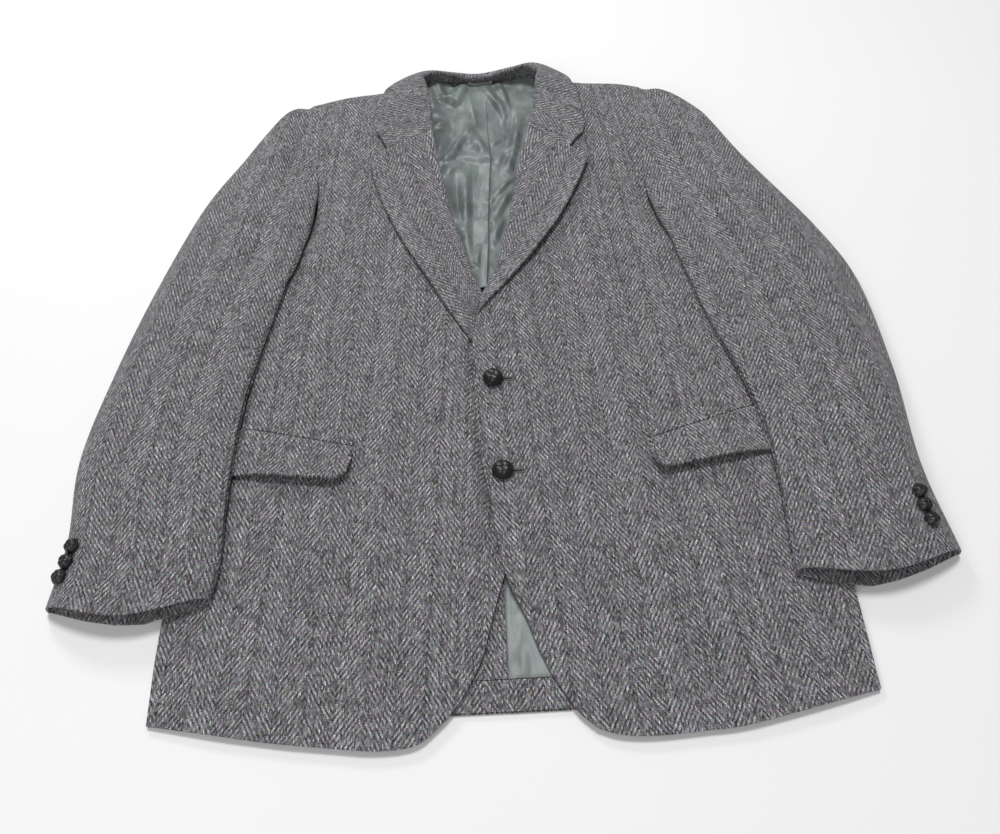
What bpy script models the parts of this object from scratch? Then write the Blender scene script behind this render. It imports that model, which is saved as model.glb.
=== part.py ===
"""A single-breasted tweed jacket with notch lapels, laid flat on its back.

Metres, +Z up. The hem is towards -Y, the neck towards +Y, and the back rests on z = 0.
Right and left are the wearer's: the right side is at -X, and the left front laps over it.
In the tables, `out` is the distance from the centre line to either side, `up` the distance
from the front hem towards the neck, and `z` the height above the surface that it lies on.
"""

import math

import bpy
import numpy as np
from mathutils import Vector
from mathutils.bvhtree import BVHTree

# Driving sizes.
OUTLINE_MIDDLE = (-0.0044, 0.4385)  # x, up: the middle of the whole outline, where the origin is
TWEED = 0.002
FACED_TWEED = 0.0024  # lapels, collar and flaps: two cloths pressed into one wall
LINING = 0.001
SEAM = 0.0003
CLEAR = 0.0007  # between a panel and what lies on it
FRONT_BUTTON = 0.0205
CUFF_BUTTON = 0.0146
CUFF_BUTTON_PITCH = 0.0153
CENTRE_BACK = -0.004  # x of the centre back seam and the vent
BACK_HEM_UP = 0.022

RIGHT, LEFT = -1, 1

FINISHES = {  # colour, roughness
    "tweed": ((0.16, 0.15, 0.16), 0.9),
    "satin": ((0.30, 0.36, 0.34), 0.35),
    "leather": ((0.02, 0.018, 0.018), 0.4),
}

# The top of the chest: height of the fronts' outer face.
CHEST = (  # up, z
    (-0.020, 0.0070),
    (0.100, 0.0090),
    (0.250, 0.0120),
    (0.400, 0.0160),
    (0.520, 0.0210),
    (0.640, 0.0270),
    (0.740, 0.0320),
    (0.790, 0.0340),
    (0.900, 0.0340),
)
SIDE_HEIGHT = 0.0045  # of the fronts' outer face along the folded side
SIDE_ROUND = 0.070  # the fronts reach the chest's height this far in from the side
ARMHOLE_HEIGHT = (  # up, z of the fronts' outer face along the armhole
    (0.540, 0.0045),
    (0.560, 0.0060),
    (0.600, 0.0130),
    (0.640, 0.0200),
    (0.690, 0.0260),
    (0.735, 0.0295),
    (0.815, 0.0320),
)
ARMHOLE_ROUND = 0.045
SHOULDER_ROUND = 0.022
SHOULDER_DROP = 0.008
SHOULDER_JOIN = 0.0052  # from the front's outer face down to the back's edge at the shoulder seam

SIDE = {  # out, up, from the hem corner to the underarm
    RIGHT: ((0.299, 0.026), (0.302, 0.108), (0.298, 0.220), (0.290, 0.330), (0.286, 0.440), (0.287, 0.556)),
    LEFT: ((0.296, 0.025), (0.299, 0.125), (0.296, 0.220), (0.289, 0.330), (0.285, 0.440), (0.284, 0.548)),
}
ARMHOLE = {  # out, up, from the underarm to the shoulder seam
    RIGHT: (
        (0.287, 0.556),
        (0.265, 0.562),
        (0.238, 0.575),
        (0.213, 0.598),
        (0.203, 0.640),
        (0.210, 0.690),
        (0.217, 0.735),
        (0.212, 0.775),
        (0.204, 0.813),
    ),
    LEFT: (
        (0.284, 0.548),
        (0.262, 0.551),
        (0.232, 0.561),
        (0.205, 0.578),
        (0.192, 0.620),
        (0.194, 0.680),
        (0.200, 0.735),
        (0.203, 0.775),
        (0.202, 0.811),
    ),
}
# The largest soft folds, as troughs along straight lines.
FRONT_FOLDS = {  # out, up, out, up, half width, depth
    RIGHT: (
        (0.232, 0.560, 0.185, 0.470, 0.030, 0.0040),
        (0.262, 0.150, 0.205, 0.020, 0.034, 0.0022),
        (0.130, 0.200, 0.118, 0.030, 0.036, 0.0016),
    ),
    LEFT: (
        (0.222, 0.545, 0.180, 0.450, 0.030, 0.0040),
        (0.150, 0.180, 0.170, 0.030, 0.036, 0.0020),
        (0.262, 0.180, 0.238, 0.040, 0.032, 0.0022),
    ),
}
SLEEVE_FOLDS = {
    RIGHT: (
        (0.262, 0.372, 0.338, 0.405, 0.026, 0.0050),
        (0.330, 0.300, 0.392, 0.345, 0.024, 0.0032),
        (0.248, 0.560, 0.285, 0.500, 0.028, 0.0050),
        (0.350, 0.190, 0.378, 0.240, 0.026, 0.0025),
    ),
    LEFT: (
        (0.252, 0.402, 0.330, 0.440, 0.026, 0.0050),
        (0.330, 0.330, 0.388, 0.372, 0.024, 0.0035),
        (0.240, 0.545, 0.280, 0.480, 0.028, 0.0050),
        (0.285, 0.215, 0.312, 0.270, 0.026, 0.0025),
    ),
}
SHOULDER_SEAM = ((0.086, 0.846), (0.125, 0.832), (0.173, 0.826))  # out, up, from the neck to near the armhole
FRONT_EDGE = {  # x, up, from the hem round the cutaway, along the lap and the roll to the neck
    RIGHT: (
        (-0.062, 0.012),
        (-0.052, 0.022),
        (-0.039, 0.040),
        (-0.025, 0.067),
        (-0.016, 0.100),
        (-0.001, 0.150),
        (0.010, 0.210),
        (0.017, 0.290),
        (0.015, 0.360),
        (0.000, 0.430),
        (-0.021, 0.490),
        (-0.047, 0.592),
        (-0.067, 0.711),
        (-0.070, 0.775),
        (-0.086, 0.846),
    ),
    LEFT: (
        (0.065, 0.005),
        (0.052, 0.017),
        (0.043, 0.031),
        (0.031, 0.052),
        (0.022, 0.074),
        (0.014, 0.099),
        (-0.003, 0.144),
        (-0.014, 0.222),
        (-0.021, 0.275),
        (-0.024, 0.340),
        (-0.024, 0.400),
        (-0.011, 0.455),
        (0.006, 0.500),
        (0.026, 0.584),
        (0.048, 0.700),
        (0.064, 0.775),
        (0.086, 0.846),
    ),
}
FRONT_HEM = {  # x, up, from the cutaway to the side
    RIGHT: (
        (-0.062, 0.012),
        (-0.080, -0.001),
        (-0.110, -0.004),
        (-0.147, 0.000),
        (-0.204, 0.008),
        (-0.299, 0.026),
    ),
    LEFT: (
        (0.065, 0.005),
        (0.083, -0.001),
        (0.110, -0.003),
        (0.150, -0.001),
        (0.192, 0.003),
        (0.296, 0.025),
    ),
}

# How far the left front is raised by what it laps over.
LAP_RISE = (  # up, z
    (0.060, 0.0000),
    (0.140, 0.0028),
    (0.340, 0.0028),
    (0.400, 0.0062),
    (0.470, 0.0062),
    (0.540, 0.0010),
    (0.600, 0.0000),
)
LAP_FLAT = 0.024  # x up to which the rise is whole
LAP_END = 0.062  # x where it has died away

# Lapels: the free edge and the fold, from the bottom to the line where the collar is sewn on.
LAPEL = {  # edge x, edge up, fold x, fold up, wrap
    RIGHT: (
        (-0.016, 0.395, -0.003, 0.436, 0.10),
        (-0.029, 0.412, -0.012, 0.466, 0.25),
        (-0.048, 0.446, -0.021, 0.490, 0.50),
        (-0.067, 0.484, -0.030, 0.524, 0.80),
        (-0.089, 0.528, -0.038, 0.556, 1.00),
        (-0.110, 0.575, -0.047, 0.592, 1.00),
        (-0.124, 0.614, -0.054, 0.634, 1.00),
        (-0.135, 0.652, -0.061, 0.678, 1.00),
        (-0.142, 0.690, -0.068, 0.740, 1.00),
    ),
    LEFT: (
        (-0.018, 0.434, -0.016, 0.444, 0.10),
        (-0.002, 0.458, -0.009, 0.462, 0.25),
        (0.018, 0.482, 0.003, 0.492, 0.50),
        (0.036, 0.506, 0.013, 0.530, 0.80),
        (0.055, 0.535, 0.019, 0.556, 1.00),
        (0.076, 0.568, 0.027, 0.590, 1.00),
        (0.094, 0.602, 0.035, 0.634, 1.00),
        (0.109, 0.636, 0.042, 0.672, 1.00),
        (0.123, 0.671, 0.055, 0.738, 1.00),
    ),
}
NECK_ROOM = 0.0032  # from the foot line of the collar's stand out to the body's neck edge
FOLD_RADIUS = 0.0042  # of a lapel's outer face round the front's edge
LAPEL_EDGE_LIFT = 0.0012
LAPEL_PUFF = 0.0022

# Collar: the neck edge it is sewn to, its crest above that edge, and its free edge.
# A z of 0 means that it lies on the fronts there.
COLLAR = {  # neck out, neck up, neck z, rise, lean, edge out, edge up, edge z, round
    RIGHT: (
        (0.0685, 0.7408, 0, 0.0042, 0.000, 0.1200, 0.7058, 0, 0.0),
        (0.0690, 0.7580, 0, 0.0042, 0.000, 0.1290, 0.7270, 0, 0.0),
        (0.0700, 0.7760, 0, 0.0050, 0.000, 0.1370, 0.7480, 0, 0.0),
        (0.0738, 0.8040, 0, 0.0090, 0.001, 0.1330, 0.7850, 0, 0.0),
        (0.0800, 0.8280, 0, 0.0135, 0.003, 0.1260, 0.8200, 0, 0.1),
        (0.0860, 0.8470, 0.0260, 0.0200, 0.005, 0.1160, 0.8520, 0.0260, 0.5),
        (0.0700, 0.8640, 0.0200, 0.0240, 0.008, 0.0900, 0.8740, 0.0100, 0.9),
        (0.0380, 0.8690, 0.0150, 0.0235, 0.010, 0.0460, 0.8800, 0.0020, 1.0),
    ),
    LEFT: (
        (0.0555, 0.7390, 0, 0.0042, 0.000, 0.1010, 0.6935, 0, 0.0),
        (0.0595, 0.7560, 0, 0.0042, 0.000, 0.1120, 0.7100, 0, 0.0),
        (0.0640, 0.7760, 0, 0.0050, 0.000, 0.1220, 0.7260, 0, 0.0),
        (0.0720, 0.8040, 0, 0.0090, 0.001, 0.1210, 0.7750, 0, 0.0),
        (0.0790, 0.8280, 0, 0.0135, 0.003, 0.1150, 0.8180, 0, 0.1),
        (0.0860, 0.8470, 0.0260, 0.0200, 0.005, 0.1100, 0.8520, 0.0260, 0.5),
        (0.0700, 0.8640, 0.0200, 0.0240, 0.008, 0.0880, 0.8740, 0.0100, 0.9),
        (0.0380, 0.8690, 0.0150, 0.0235, 0.010, 0.0460, 0.8800, 0.0020, 1.0),
    ),
}
COLLAR_BACK = (0.0, 0.8700, 0.0130, 0.0215, 0.011, 0.0, 0.8810, 0.0010, 1.0)  # at the centre back

# Sleeves: folded edges from the cuff to the shoulder. The inner one ends at the armhole.
SLEEVE_INNER = {  # out, up
    RIGHT: (
        (0.2590, 0.129),
        (0.2545, 0.165),
        (0.2565, 0.253),
        (0.2510, 0.359),
        (0.2270, 0.484),
        (0.2120, 0.550),
    ),
    LEFT: (
        (0.2490, 0.128),
        (0.2510, 0.165),
        (0.2545, 0.264),
        (0.2440, 0.334),
        (0.2190, 0.437),
        (0.2050, 0.520),
    ),
}
SLEEVE_OUTER = {  # out, up
    RIGHT: (
        (0.406, 0.131),
        (0.402, 0.196),
        (0.411, 0.283),
        (0.400, 0.381),
        (0.379, 0.493),
        (0.344, 0.627),
        (0.305, 0.708),
        (0.278, 0.764),
        (0.257, 0.797),
    ),
    LEFT: (
        (0.400, 0.141),
        (0.393, 0.232),
        (0.401, 0.345),
        (0.399, 0.468),
        (0.376, 0.548),
        (0.345, 0.617),
        (0.312, 0.686),
        (0.277, 0.771),
        (0.246, 0.797),
    ),
}
SLEEVE_HEIGHT = (  # up, z
    (0.100, 0.0280),
    (0.250, 0.0310),
    (0.400, 0.0330),
    (0.550, 0.0360),
    (0.700, 0.0385),
    (0.830, 0.0400),
)
CUFF_BOW = 0.016  # how far the upper edge of a cuff bows towards the hem
UNDER_CUFF_BOW = 0.014
# The undersleeve's edge round the underarm, where it leaves the front and turns up along the armhole.
NOTCH_ON_FRONT = {  # out, up
    RIGHT: ((0.236, 0.518), (0.262, 0.540)),
    LEFT: ((0.228, 0.500), (0.256, 0.527)),
}
NOTCH_BESIDE = {  # out, up, share of the width out to the undersleeve's middle line
    RIGHT: ((0.292, 0.559, 0.10), (0.268, 0.5685, 0.20), (0.242, 0.581, 0.27), (0.2165, 0.602, 0.33)),
    LEFT: ((0.289, 0.550, 0.10), (0.265, 0.5575, 0.20), (0.236, 0.567, 0.27), (0.2085, 0.582, 0.33)),
}
FRONT_COLUMNS = (0, 0.05, 0.11, 0.18, 0.26, 0.35, 0.44, 0.53, 0.62, 0.71, 0.80, 0.88, 0.95, 1)
BACK_COLUMNS = (0, 0.10, 0.20, 0.29, 0.36, 0.42, 0.50, 0.62, 0.75, 0.88, 1)
BODY_ROWS = (18, 0.945)  # even rows from the hem, and the share of the length where they end
FRONT_TOP_ROWS = (0.030, 0.018, 0.009, 0.003, 0)  # closer rows, this far from the shoulder seam
BACK_TOP_ROWS = (0.028, 0.020, 0.013, 0.007, 0.0025, 0)
FRONT_LENGTH = 0.86  # about, from hem to shoulder
BACK_LENGTH = 0.85
BACK_RISE = 0.028  # the back rises to the neck and shoulder over this width
BACK_WAIST = 0.45  # up
BACK_HEM_TURN = (0.15, 0.001)  # out, and how far the hem has risen there
SLEEVE_COLUMNS = 12
SLEEVE_ROWS = (19, 0.93)
SLEEVE_TOP_ROWS = (0.030, 0.018, 0.009, 0.003, 0)
SLEEVE_LENGTH = 0.70
UNDERSLEEVE_ROWS = 11
ARMHOLE_ROWS = (0, 0.17, 0.34, 0.50, 0.66, 0.80)
ARMHOLE_TOP_ROWS = (0.020, 0.013, 0.007, 0.0025, 0)
FOLD_ENDS = (0.15, 0.85)  # a soft fold is no deeper nearer its ends than at these shares of its length
LAPEL_SHARES = (0, 0.25, 0.5, 0.75, 0.92)  # of a lapel's width, from its free edge to its fold
LAPEL_TURNS = (0, 30, 65, 100, 140)  # degrees round the fold
LAPEL_FLAT_TURN = 0.3  # share of those turns that is left where the lapel isn't folded over
COLLAR_SHARES = (1, 0.85, 0.68, 0.50, 0.32, 0.14)  # of the fall's width, from its edge to the crest
COLLAR_TURNS = (0, 30, 60, 90)  # degrees round the crest
COLLAR_DROP = 1.3  # exponent of the fall's slope
COLLAR_ON_FRONT = 0.83  # up where the fall stops lying on the fronts
COLLAR_FOOT_DROP = 0.001  # of the stand's foot below the neck
FLAP_CORNER_SHARES = (0, 0.08, 0.27, 0.58, 1)  # of the corner's radius
FLAP_SHARES = (0.3, 0.5, 0.7, 0.86, 1)  # of the flap's length
FLAP_ROWS = 5
FLAP_CURL = 1.5  # exponent of the lift towards the lower edge
FLAP_HELD = (0.6, 0.9)  # shares of the length where the sleeve begins to hold it down
JET_COLUMNS = 7
BELOW_NOTCH = 0.025  # the last straight row ends this far below the notch
ARMHOLE_SHARE = 0.35  # of the width out to the middle line, beside the armhole
NOTCH_REACH = 0.0125  # each row round the notch reaches this share further up the outer edge
OVER_NOTCH = 0.62  # how far the outer ends of the rows beside the armhole are spread
LYING = (0, 0.25, 0.50, 0.75)  # shares of a row from the undersleeve's edge to its middle line
FREE = (0, 0.14, 0.40, 0.70, 1)  # shares from there to the outer fold
UNDERSLEEVE_INSET = 0.0036
SIDE_MARGIN = 0.004
SLEEVE_EDGE = 0.0005
SLEEVE_EDGE_RISE = 0.0040  # the outer fold stands upright this far
UNDERARM_ROOM = 0.0030  # more room between the front and the undersleeve beside the underarm
UNDERARM_ROOM_UP = (0.40, 0.45)  # it grows between these, beside the edge
UNDERARM_WIDE_UP = (0.46, 0.49)  # and spreads to the whole row between these
UNDERARM_EDGE = 0.25  # share of a row that is beside the edge
OVER_FLAP_SHARES = (0.4, 0.9)  # of a row, where the room over a flap ends
FOLD_PROBE = 0.0015  # beside the inner fold, where the height of what lies below is read
CAP_OVERLAP = 0.0030  # of the sleeve's cap over the front's armhole edge
UNDER_SEAM = 0.0016  # from the back's armhole edge to the undersleeve
FOLD_ROOM = 0.0030  # between the topsleeve's inner fold and what it lies on
HEAD_BOW = 0.002
HEAD_RISE = 0.028  # the undersleeve rises to the sleeve head over this width
FLAP_ROOM = 0.0056  # the sleeve rises this much where it lies over the end of a flap
FLAP_ROOM_UP = (0.175, 0.205, 0.355, 0.395)
SLEEVE_FULLNESS = 2.6  # exponent of the sleeve's rounded section

# Pocket flaps, on the fronts: corners from the front end to the end under the sleeve.
FLAP = {  # top front, top back, bottom front, bottom back (out, up)
    RIGHT: ((0.1440, 0.2835), (0.2680, 0.3150), (0.1480, 0.2415), (0.2700, 0.2570)),
    LEFT: ((0.1420, 0.2750), (0.2660, 0.3130), (0.1440, 0.2350), (0.2680, 0.2560)),
}
FLAP_LIFT = 0.0040  # of the free lower edge
FLAP_CORNER = 0.013  # radius of the rounded front corner
JET_GAP = 0.0006
JET_SHARE = 0.86  # of the flap's top edge: the rest is under the sleeve
JET_WIDTH = 0.005
JET_WALL = 0.0012

# Inside of the back, where it shows.
HEM_FACING = ((-0.088, 0.0228), (0.098, 0.0490))  # x, up of two opposite corners
VENT_FACING = ((-0.046, 0.0495), (-0.0045, 0.2050))
SKIRT_LINING = ((-0.0038, 0.0495), (0.098, 0.2050))
LINING_LOW = ((-0.100, 0.425), (0.086, 0.425))  # x, up
LINING_SIDE = {  # out, up
    RIGHT: ((0.112, 0.560), (0.118, 0.700), (0.104, 0.800)),
    LEFT: ((0.098, 0.560), (0.104, 0.700), (0.098, 0.800)),
}
LINING_INSET = 0.0052  # inside the foot of the collar's stand
LINING_HALF_WIDTH = 0.110
LINING_RISE = 0.004  # at that distance from the middle
PLEAT_HEIGHT = 0.003
PLEAT_WIDTH = 0.006
PLEAT_UP = (0.47, 0.60)  # it grows between these
LINING_COLUMNS = (0, 0.12, 0.24, 0.35, 0.43, 0.47, 0.50, 0.53, 0.60, 0.70, 0.80, 0.90, 1)
LINING_ROWS = 15

BUTTONS_UP = (0.353, 0.2445)
BUTTONS_X = (-0.005, 0.000)
BUTTON_SIDES = 12
BUTTON_PROFILE = (  # out, height, in shares of the diameter, from the dome down to the shank's foot
    (0.00, 0.46),
    (0.20, 0.44),
    (0.36, 0.36),
    (0.46, 0.25),
    (0.50, 0.15),
    (0.46, 0.09),
    (0.32, 0.06),
    (0.16, 0.055),
    (0.16, 0.00),
    (0.00, 0.00),
)
BUTTON_SEAT = 0.0006
CUFF_BUTTONS = {RIGHT: (0.3900, 0.1600), LEFT: (0.3760, 0.1700)}  # out, up of the button nearest the cuff


def steps(rows, at):
    """Heights read from a table of (position, height), smooth and with no overshoot between its rows."""
    place, value = np.array(rows).T
    gap = np.diff(place)
    grade = np.diff(value) / gap
    product = np.maximum(grade[1:] * grade[:-1], 0)
    inner = 2 * product / np.where(product > 0, grade[1:] + grade[:-1], 1)
    slope = np.concatenate([grade[:1], inner, grade[-1:]])
    i = np.clip(np.searchsorted(place, at) - 1, 0, len(gap) - 1)
    t = np.clip((at - place[i]) / gap[i], 0, 1)
    keep = 2 * t**3 - 3 * t**2 + 1
    bend = slope[i] * (t**3 - 2 * t**2 + t) + slope[i + 1] * (t**3 - t**2)
    return keep * value[i] + (1 - keep) * value[i + 1] + gap[i] * bend


def curve(rows, fine=8):
    """A smooth curve through the rows, as an array of points."""
    p = np.array(rows, float)
    p = np.vstack([2 * p[0] - p[1], p, 2 * p[-1] - p[-2]])
    t = np.linspace(0, 1, fine, endpoint=False)[:, None]
    spans = [
        b + 0.5 * ((c - a) * t + (2 * a - 5 * b + 4 * c - d) * t**2 + (3 * b - 3 * c + d - a) * t**3)
        for a, b, c, d in zip(p, p[1:], p[2:], p[3:])
    ]
    return np.vstack(spans + [p[-2:-1]])


def curve_of_rows(rows, fine=2):
    """More rows, on smooth curves through the like points of the given ones."""
    return np.stack([curve(line, fine) for line in np.array(rows).transpose(1, 0, 2)], axis=1)


def at_share(line, shares):
    """Points at shares of the length of a line."""
    run = np.concatenate([[0], np.cumsum(np.linalg.norm(np.diff(line, axis=0), axis=1))])
    wanted = np.asarray(shares) * run[-1]
    return np.stack([np.interp(wanted, run, column) for column in line.T], axis=-1)


def moved_in(line, distance, side):
    """A line that runs up one side, moved towards the centre line at right angles to itself."""
    ahead = np.gradient(line, axis=0)
    ahead /= np.linalg.norm(ahead, axis=1)[:, None]
    return line + side * distance * np.stack([-ahead[:, 1], ahead[:, 0]], axis=-1)


def patch(inner, outer, low, high, across, along):
    """Plan points of a panel between four edges: one row for each share along, from low to high."""
    u = np.asarray(across)[None, :, None]
    v = np.asarray(along)[:, None, None]
    sides = (1 - u) * at_share(inner, along)[:, None] + u * at_share(outer, along)[:, None]
    ends = (1 - v) * at_share(low, across)[None] + v * at_share(high, across)[None]
    corners = (1 - u) * ((1 - v) * inner[0] + v * inner[-1]) + u * ((1 - v) * outer[0] + v * outer[-1])
    return sides + ends - corners


def to_side(side, rows):
    """Rows of (out, up) as plan points on one side."""
    return [(side * out, up) for out, up in rows]


def from_far_end(gaps, length):
    """Shares that end with rows these distances from the far end."""
    return [1 - gap / length for gap in gaps]


def easing(at, start, end):
    """0 before start, 1 after end, smooth between."""
    t = np.clip((at - start) / (end - start), 0, 1)
    return t * t * (3 - 2 * t)


def quarter_wave(share):
    """0 at 0 and 1 from 1 on, as the first quarter of a sine wave."""
    return np.sin(math.pi / 2 * np.clip(share, 0, 1))


def rounded_drop(distance, width):
    """0 at this width from an edge, 1 at the edge, falling as a quarter circle."""
    t = np.clip(1 - distance / width, 0, 1)
    return 1 - np.sqrt(1 - t**2)


def distance_to(line, plan):
    """Distance from each plan point to a line, and the line's nearest point."""
    gaps = np.linalg.norm(plan[..., None, :] - line, axis=-1)
    return gaps.min(axis=-1), line[gaps.argmin(axis=-1)]


def trough(side, folds, plan):
    """Depth of the soft folds at each plan point."""
    depth = 0
    for out, up, end_out, end_up, half_width, most in folds:
        start = np.array((side * out, up))
        along = np.array((side * end_out, end_up)) - start
        share = np.clip((plan - start) @ along / (along @ along), 0, 1)
        gap = np.linalg.norm(plan - start - share[..., None] * along, axis=-1)
        depth = depth + most * np.sin(math.pi * np.clip(share, *FOLD_ENDS)) * easing(gap, half_width, 0)
    return depth


def material(name, finish):
    """A sub-part's own material."""
    colour, roughness = FINISHES[finish]
    made = bpy.data.materials.new(f"{name}_{finish}")
    made.use_nodes = True
    shader = made.node_tree.nodes["Principled BSDF"]
    shader.inputs["Base Color"].default_value = (*colour, 1)
    shader.inputs["Roughness"].default_value = roughness
    shader.inputs["Metallic"].default_value = 0
    return made


def place(name, mesh, finish):
    made = bpy.data.objects.new(name, mesh)
    made.location = (-OUTLINE_MIDDLE[0], -OUTLINE_MIDDLE[1], 0)
    mesh.materials.append(material(name, finish))
    JACKET.objects.link(made)
    return made


def cloth(name, rows, wall, finish="tweed", grow_down=True):
    """A wall of cloth whose shown face passes through the rows of points."""
    grid = np.asarray(rows)
    lines, columns = grid.shape[:2]
    faces = [
        (r * columns + c, r * columns + c + 1, (r + 1) * columns + c + 1, (r + 1) * columns + c)
        for r in range(lines - 1)
        for c in range(columns - 1)
    ]
    corners = grid.reshape(-1, 3)
    a, b, c = (corners[faces[0][k]] for k in (0, 1, 3))
    if np.cross(b - a, c - a)[2] < 0:
        faces = [face[::-1] for face in faces]
    mesh = bpy.data.meshes.new(name)
    mesh.from_pydata([tuple(p) for p in corners], [], faces)
    mesh.shade_smooth()
    made = place(name, mesh, finish)
    solidify = made.modifiers.new("wall", "SOLIDIFY")
    solidify.thickness = wall
    solidify.offset = -1 if grow_down else 1
    return made


def surface(*grids):
    """The shown faces of panels, for laying other pieces on them."""
    points = []
    faces = []
    for grid in grids:
        lines, columns = grid.shape[:2]
        start = len(points)
        points += [Vector(p) for p in grid.reshape(-1, 3)]
        for r in range(lines - 1):
            for c in range(columns - 1):
                k = start + r * columns + c
                faces.append((k, k + 1, k + columns + 1))
                faces.append((k, k + columns + 1, k + columns))
    return BVHTree.FromPolygons(points, faces)


def height_on(panels, x, up, otherwise=None):
    """Height of the panels' shown face at a plan point, or of its nearest point beside them."""
    hit = panels.ray_cast(Vector((x, up, 1)), Vector((0, 0, -1)))[0]
    if hit is not None:
        return hit.z
    if otherwise is not None:
        return otherwise
    return panels.find_nearest(Vector((x, up, 0.03)))[0].z


def front_grid(side):
    """The outer face of one front."""
    body_side = curve(to_side(side, SIDE[side]), fine=24)
    armhole = curve(to_side(side, ARMHOLE[side]), fine=24)
    shoulder = curve(to_side(side, SHOULDER_SEAM) + [tuple(armhole[-1])])
    rows, end = BODY_ROWS
    along = (*np.linspace(0, end, rows), *from_far_end(FRONT_TOP_ROWS, FRONT_LENGTH))
    outer = np.vstack([body_side, armhole[1:]])
    plan = patch(curve(FRONT_EDGE[side]), outer, curve(FRONT_HEM[side]), shoulder, FRONT_COLUMNS, along)
    chest = steps(CHEST, plan[..., 1])
    from_side, _ = distance_to(body_side, plan)
    z = SIDE_HEIGHT + (chest - SIDE_HEIGHT) * quarter_wave(from_side / SIDE_ROUND)
    from_armhole, nearest = distance_to(armhole, plan)
    z -= trough(side, FRONT_FOLDS[side], plan) * quarter_wave(from_armhole / ARMHOLE_ROUND)
    edge = np.minimum(z, steps(ARMHOLE_HEIGHT, nearest[..., 1]))
    z = edge + (z - edge) * quarter_wave(from_armhole / ARMHOLE_ROUND)
    from_shoulder = np.linalg.norm(plan - plan[-1:], axis=-1)
    z -= SHOULDER_DROP * rounded_drop(from_shoulder, SHOULDER_ROUND)
    if side == LEFT:
        z += steps(LAP_RISE, plan[..., 1]) * (1 - easing(plan[..., 0], LAP_FLAT, LAP_END))
    return np.dstack([plan, z])


def neck_edge(side, row, room):
    """A plan point this far outside the foot of the collar's stand, at one of its stations."""
    outward = np.array((side * (row[5] - row[0]), row[6] - row[1]))
    return np.array((side * row[0], row[1])) + room * outward / np.linalg.norm(outward)


def back_grid(side):
    """The outer face of one back, which rests on the surface and rises to the neck and shoulder."""
    armhole = curve(to_side(side, ARMHOLE[side]))
    outer = np.vstack([curve(to_side(side, SIDE[side])), armhole[1:]])
    middle = CENTRE_BACK + side * SEAM / 2
    inner = curve(((middle, BACK_HEM_UP), (middle, BACK_WAIST), (middle, COLLAR_BACK[1])))
    hem_corner = to_side(side, SIDE[side][:1])
    turn, turn_rise = BACK_HEM_TURN
    hem = curve([(middle, BACK_HEM_UP), (side * turn, BACK_HEM_UP + turn_rise), *hem_corner])
    neck = [(*neck_edge(side, row, NECK_ROOM), row[2]) for row in COLLAR[side][:4:-1]]
    seam_z = CHEST[-1][1] - SHOULDER_DROP - SHOULDER_JOIN
    shoulder = [(side * out, up + CLEAR, seam_z) for out, up in SHOULDER_SEAM[1:]]
    top = curve(
        [(middle, COLLAR_BACK[1], COLLAR_BACK[2]), *neck, *shoulder, (*armhole[-1], seam_z)]
    )
    rows, end = BODY_ROWS
    along = (*np.linspace(0, end, rows), *from_far_end(BACK_TOP_ROWS, BACK_LENGTH))
    plan = patch(inner, outer, hem, top[:, :2], BACK_COLUMNS, along)
    rise = rounded_drop(np.linalg.norm(plan - plan[-1:], axis=-1), BACK_RISE)
    return np.dstack([plan, rise * at_share(top, BACK_COLUMNS)[None, :, 2]])


def lapel_rows(side, front):
    """A lapel's shown face: over the front from its free edge, round the fold and under it."""
    rows = []
    for edge_x, edge_up, fold_x, fold_up, wrap in LAPEL[side]:
        edge = np.array((edge_x, edge_up))
        fold = np.array((fold_x, fold_up))
        inward = (fold - edge) / np.linalg.norm(fold - edge)
        row = []
        for share in LAPEL_SHARES:
            x, up = edge + share * (fold - edge)
            lift = CLEAR + FACED_TWEED + LAPEL_EDGE_LIFT * wrap * (1 - share)
            lift += LAPEL_PUFF * wrap * math.sin(math.pi * share)
            row.append((x, up, height_on(front, x, up) + lift))
        core = height_on(front, *fold) - TWEED / 2
        for turn in np.radians(LAPEL_TURNS) * (LAPEL_FLAT_TURN + (1 - LAPEL_FLAT_TURN) * wrap):
            x, up = fold + inward * FOLD_RADIUS * math.sin(turn)
            row.append((x, up, core + FOLD_RADIUS * math.cos(turn)))
        rows.append(row)
    return np.array(rows)


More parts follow.
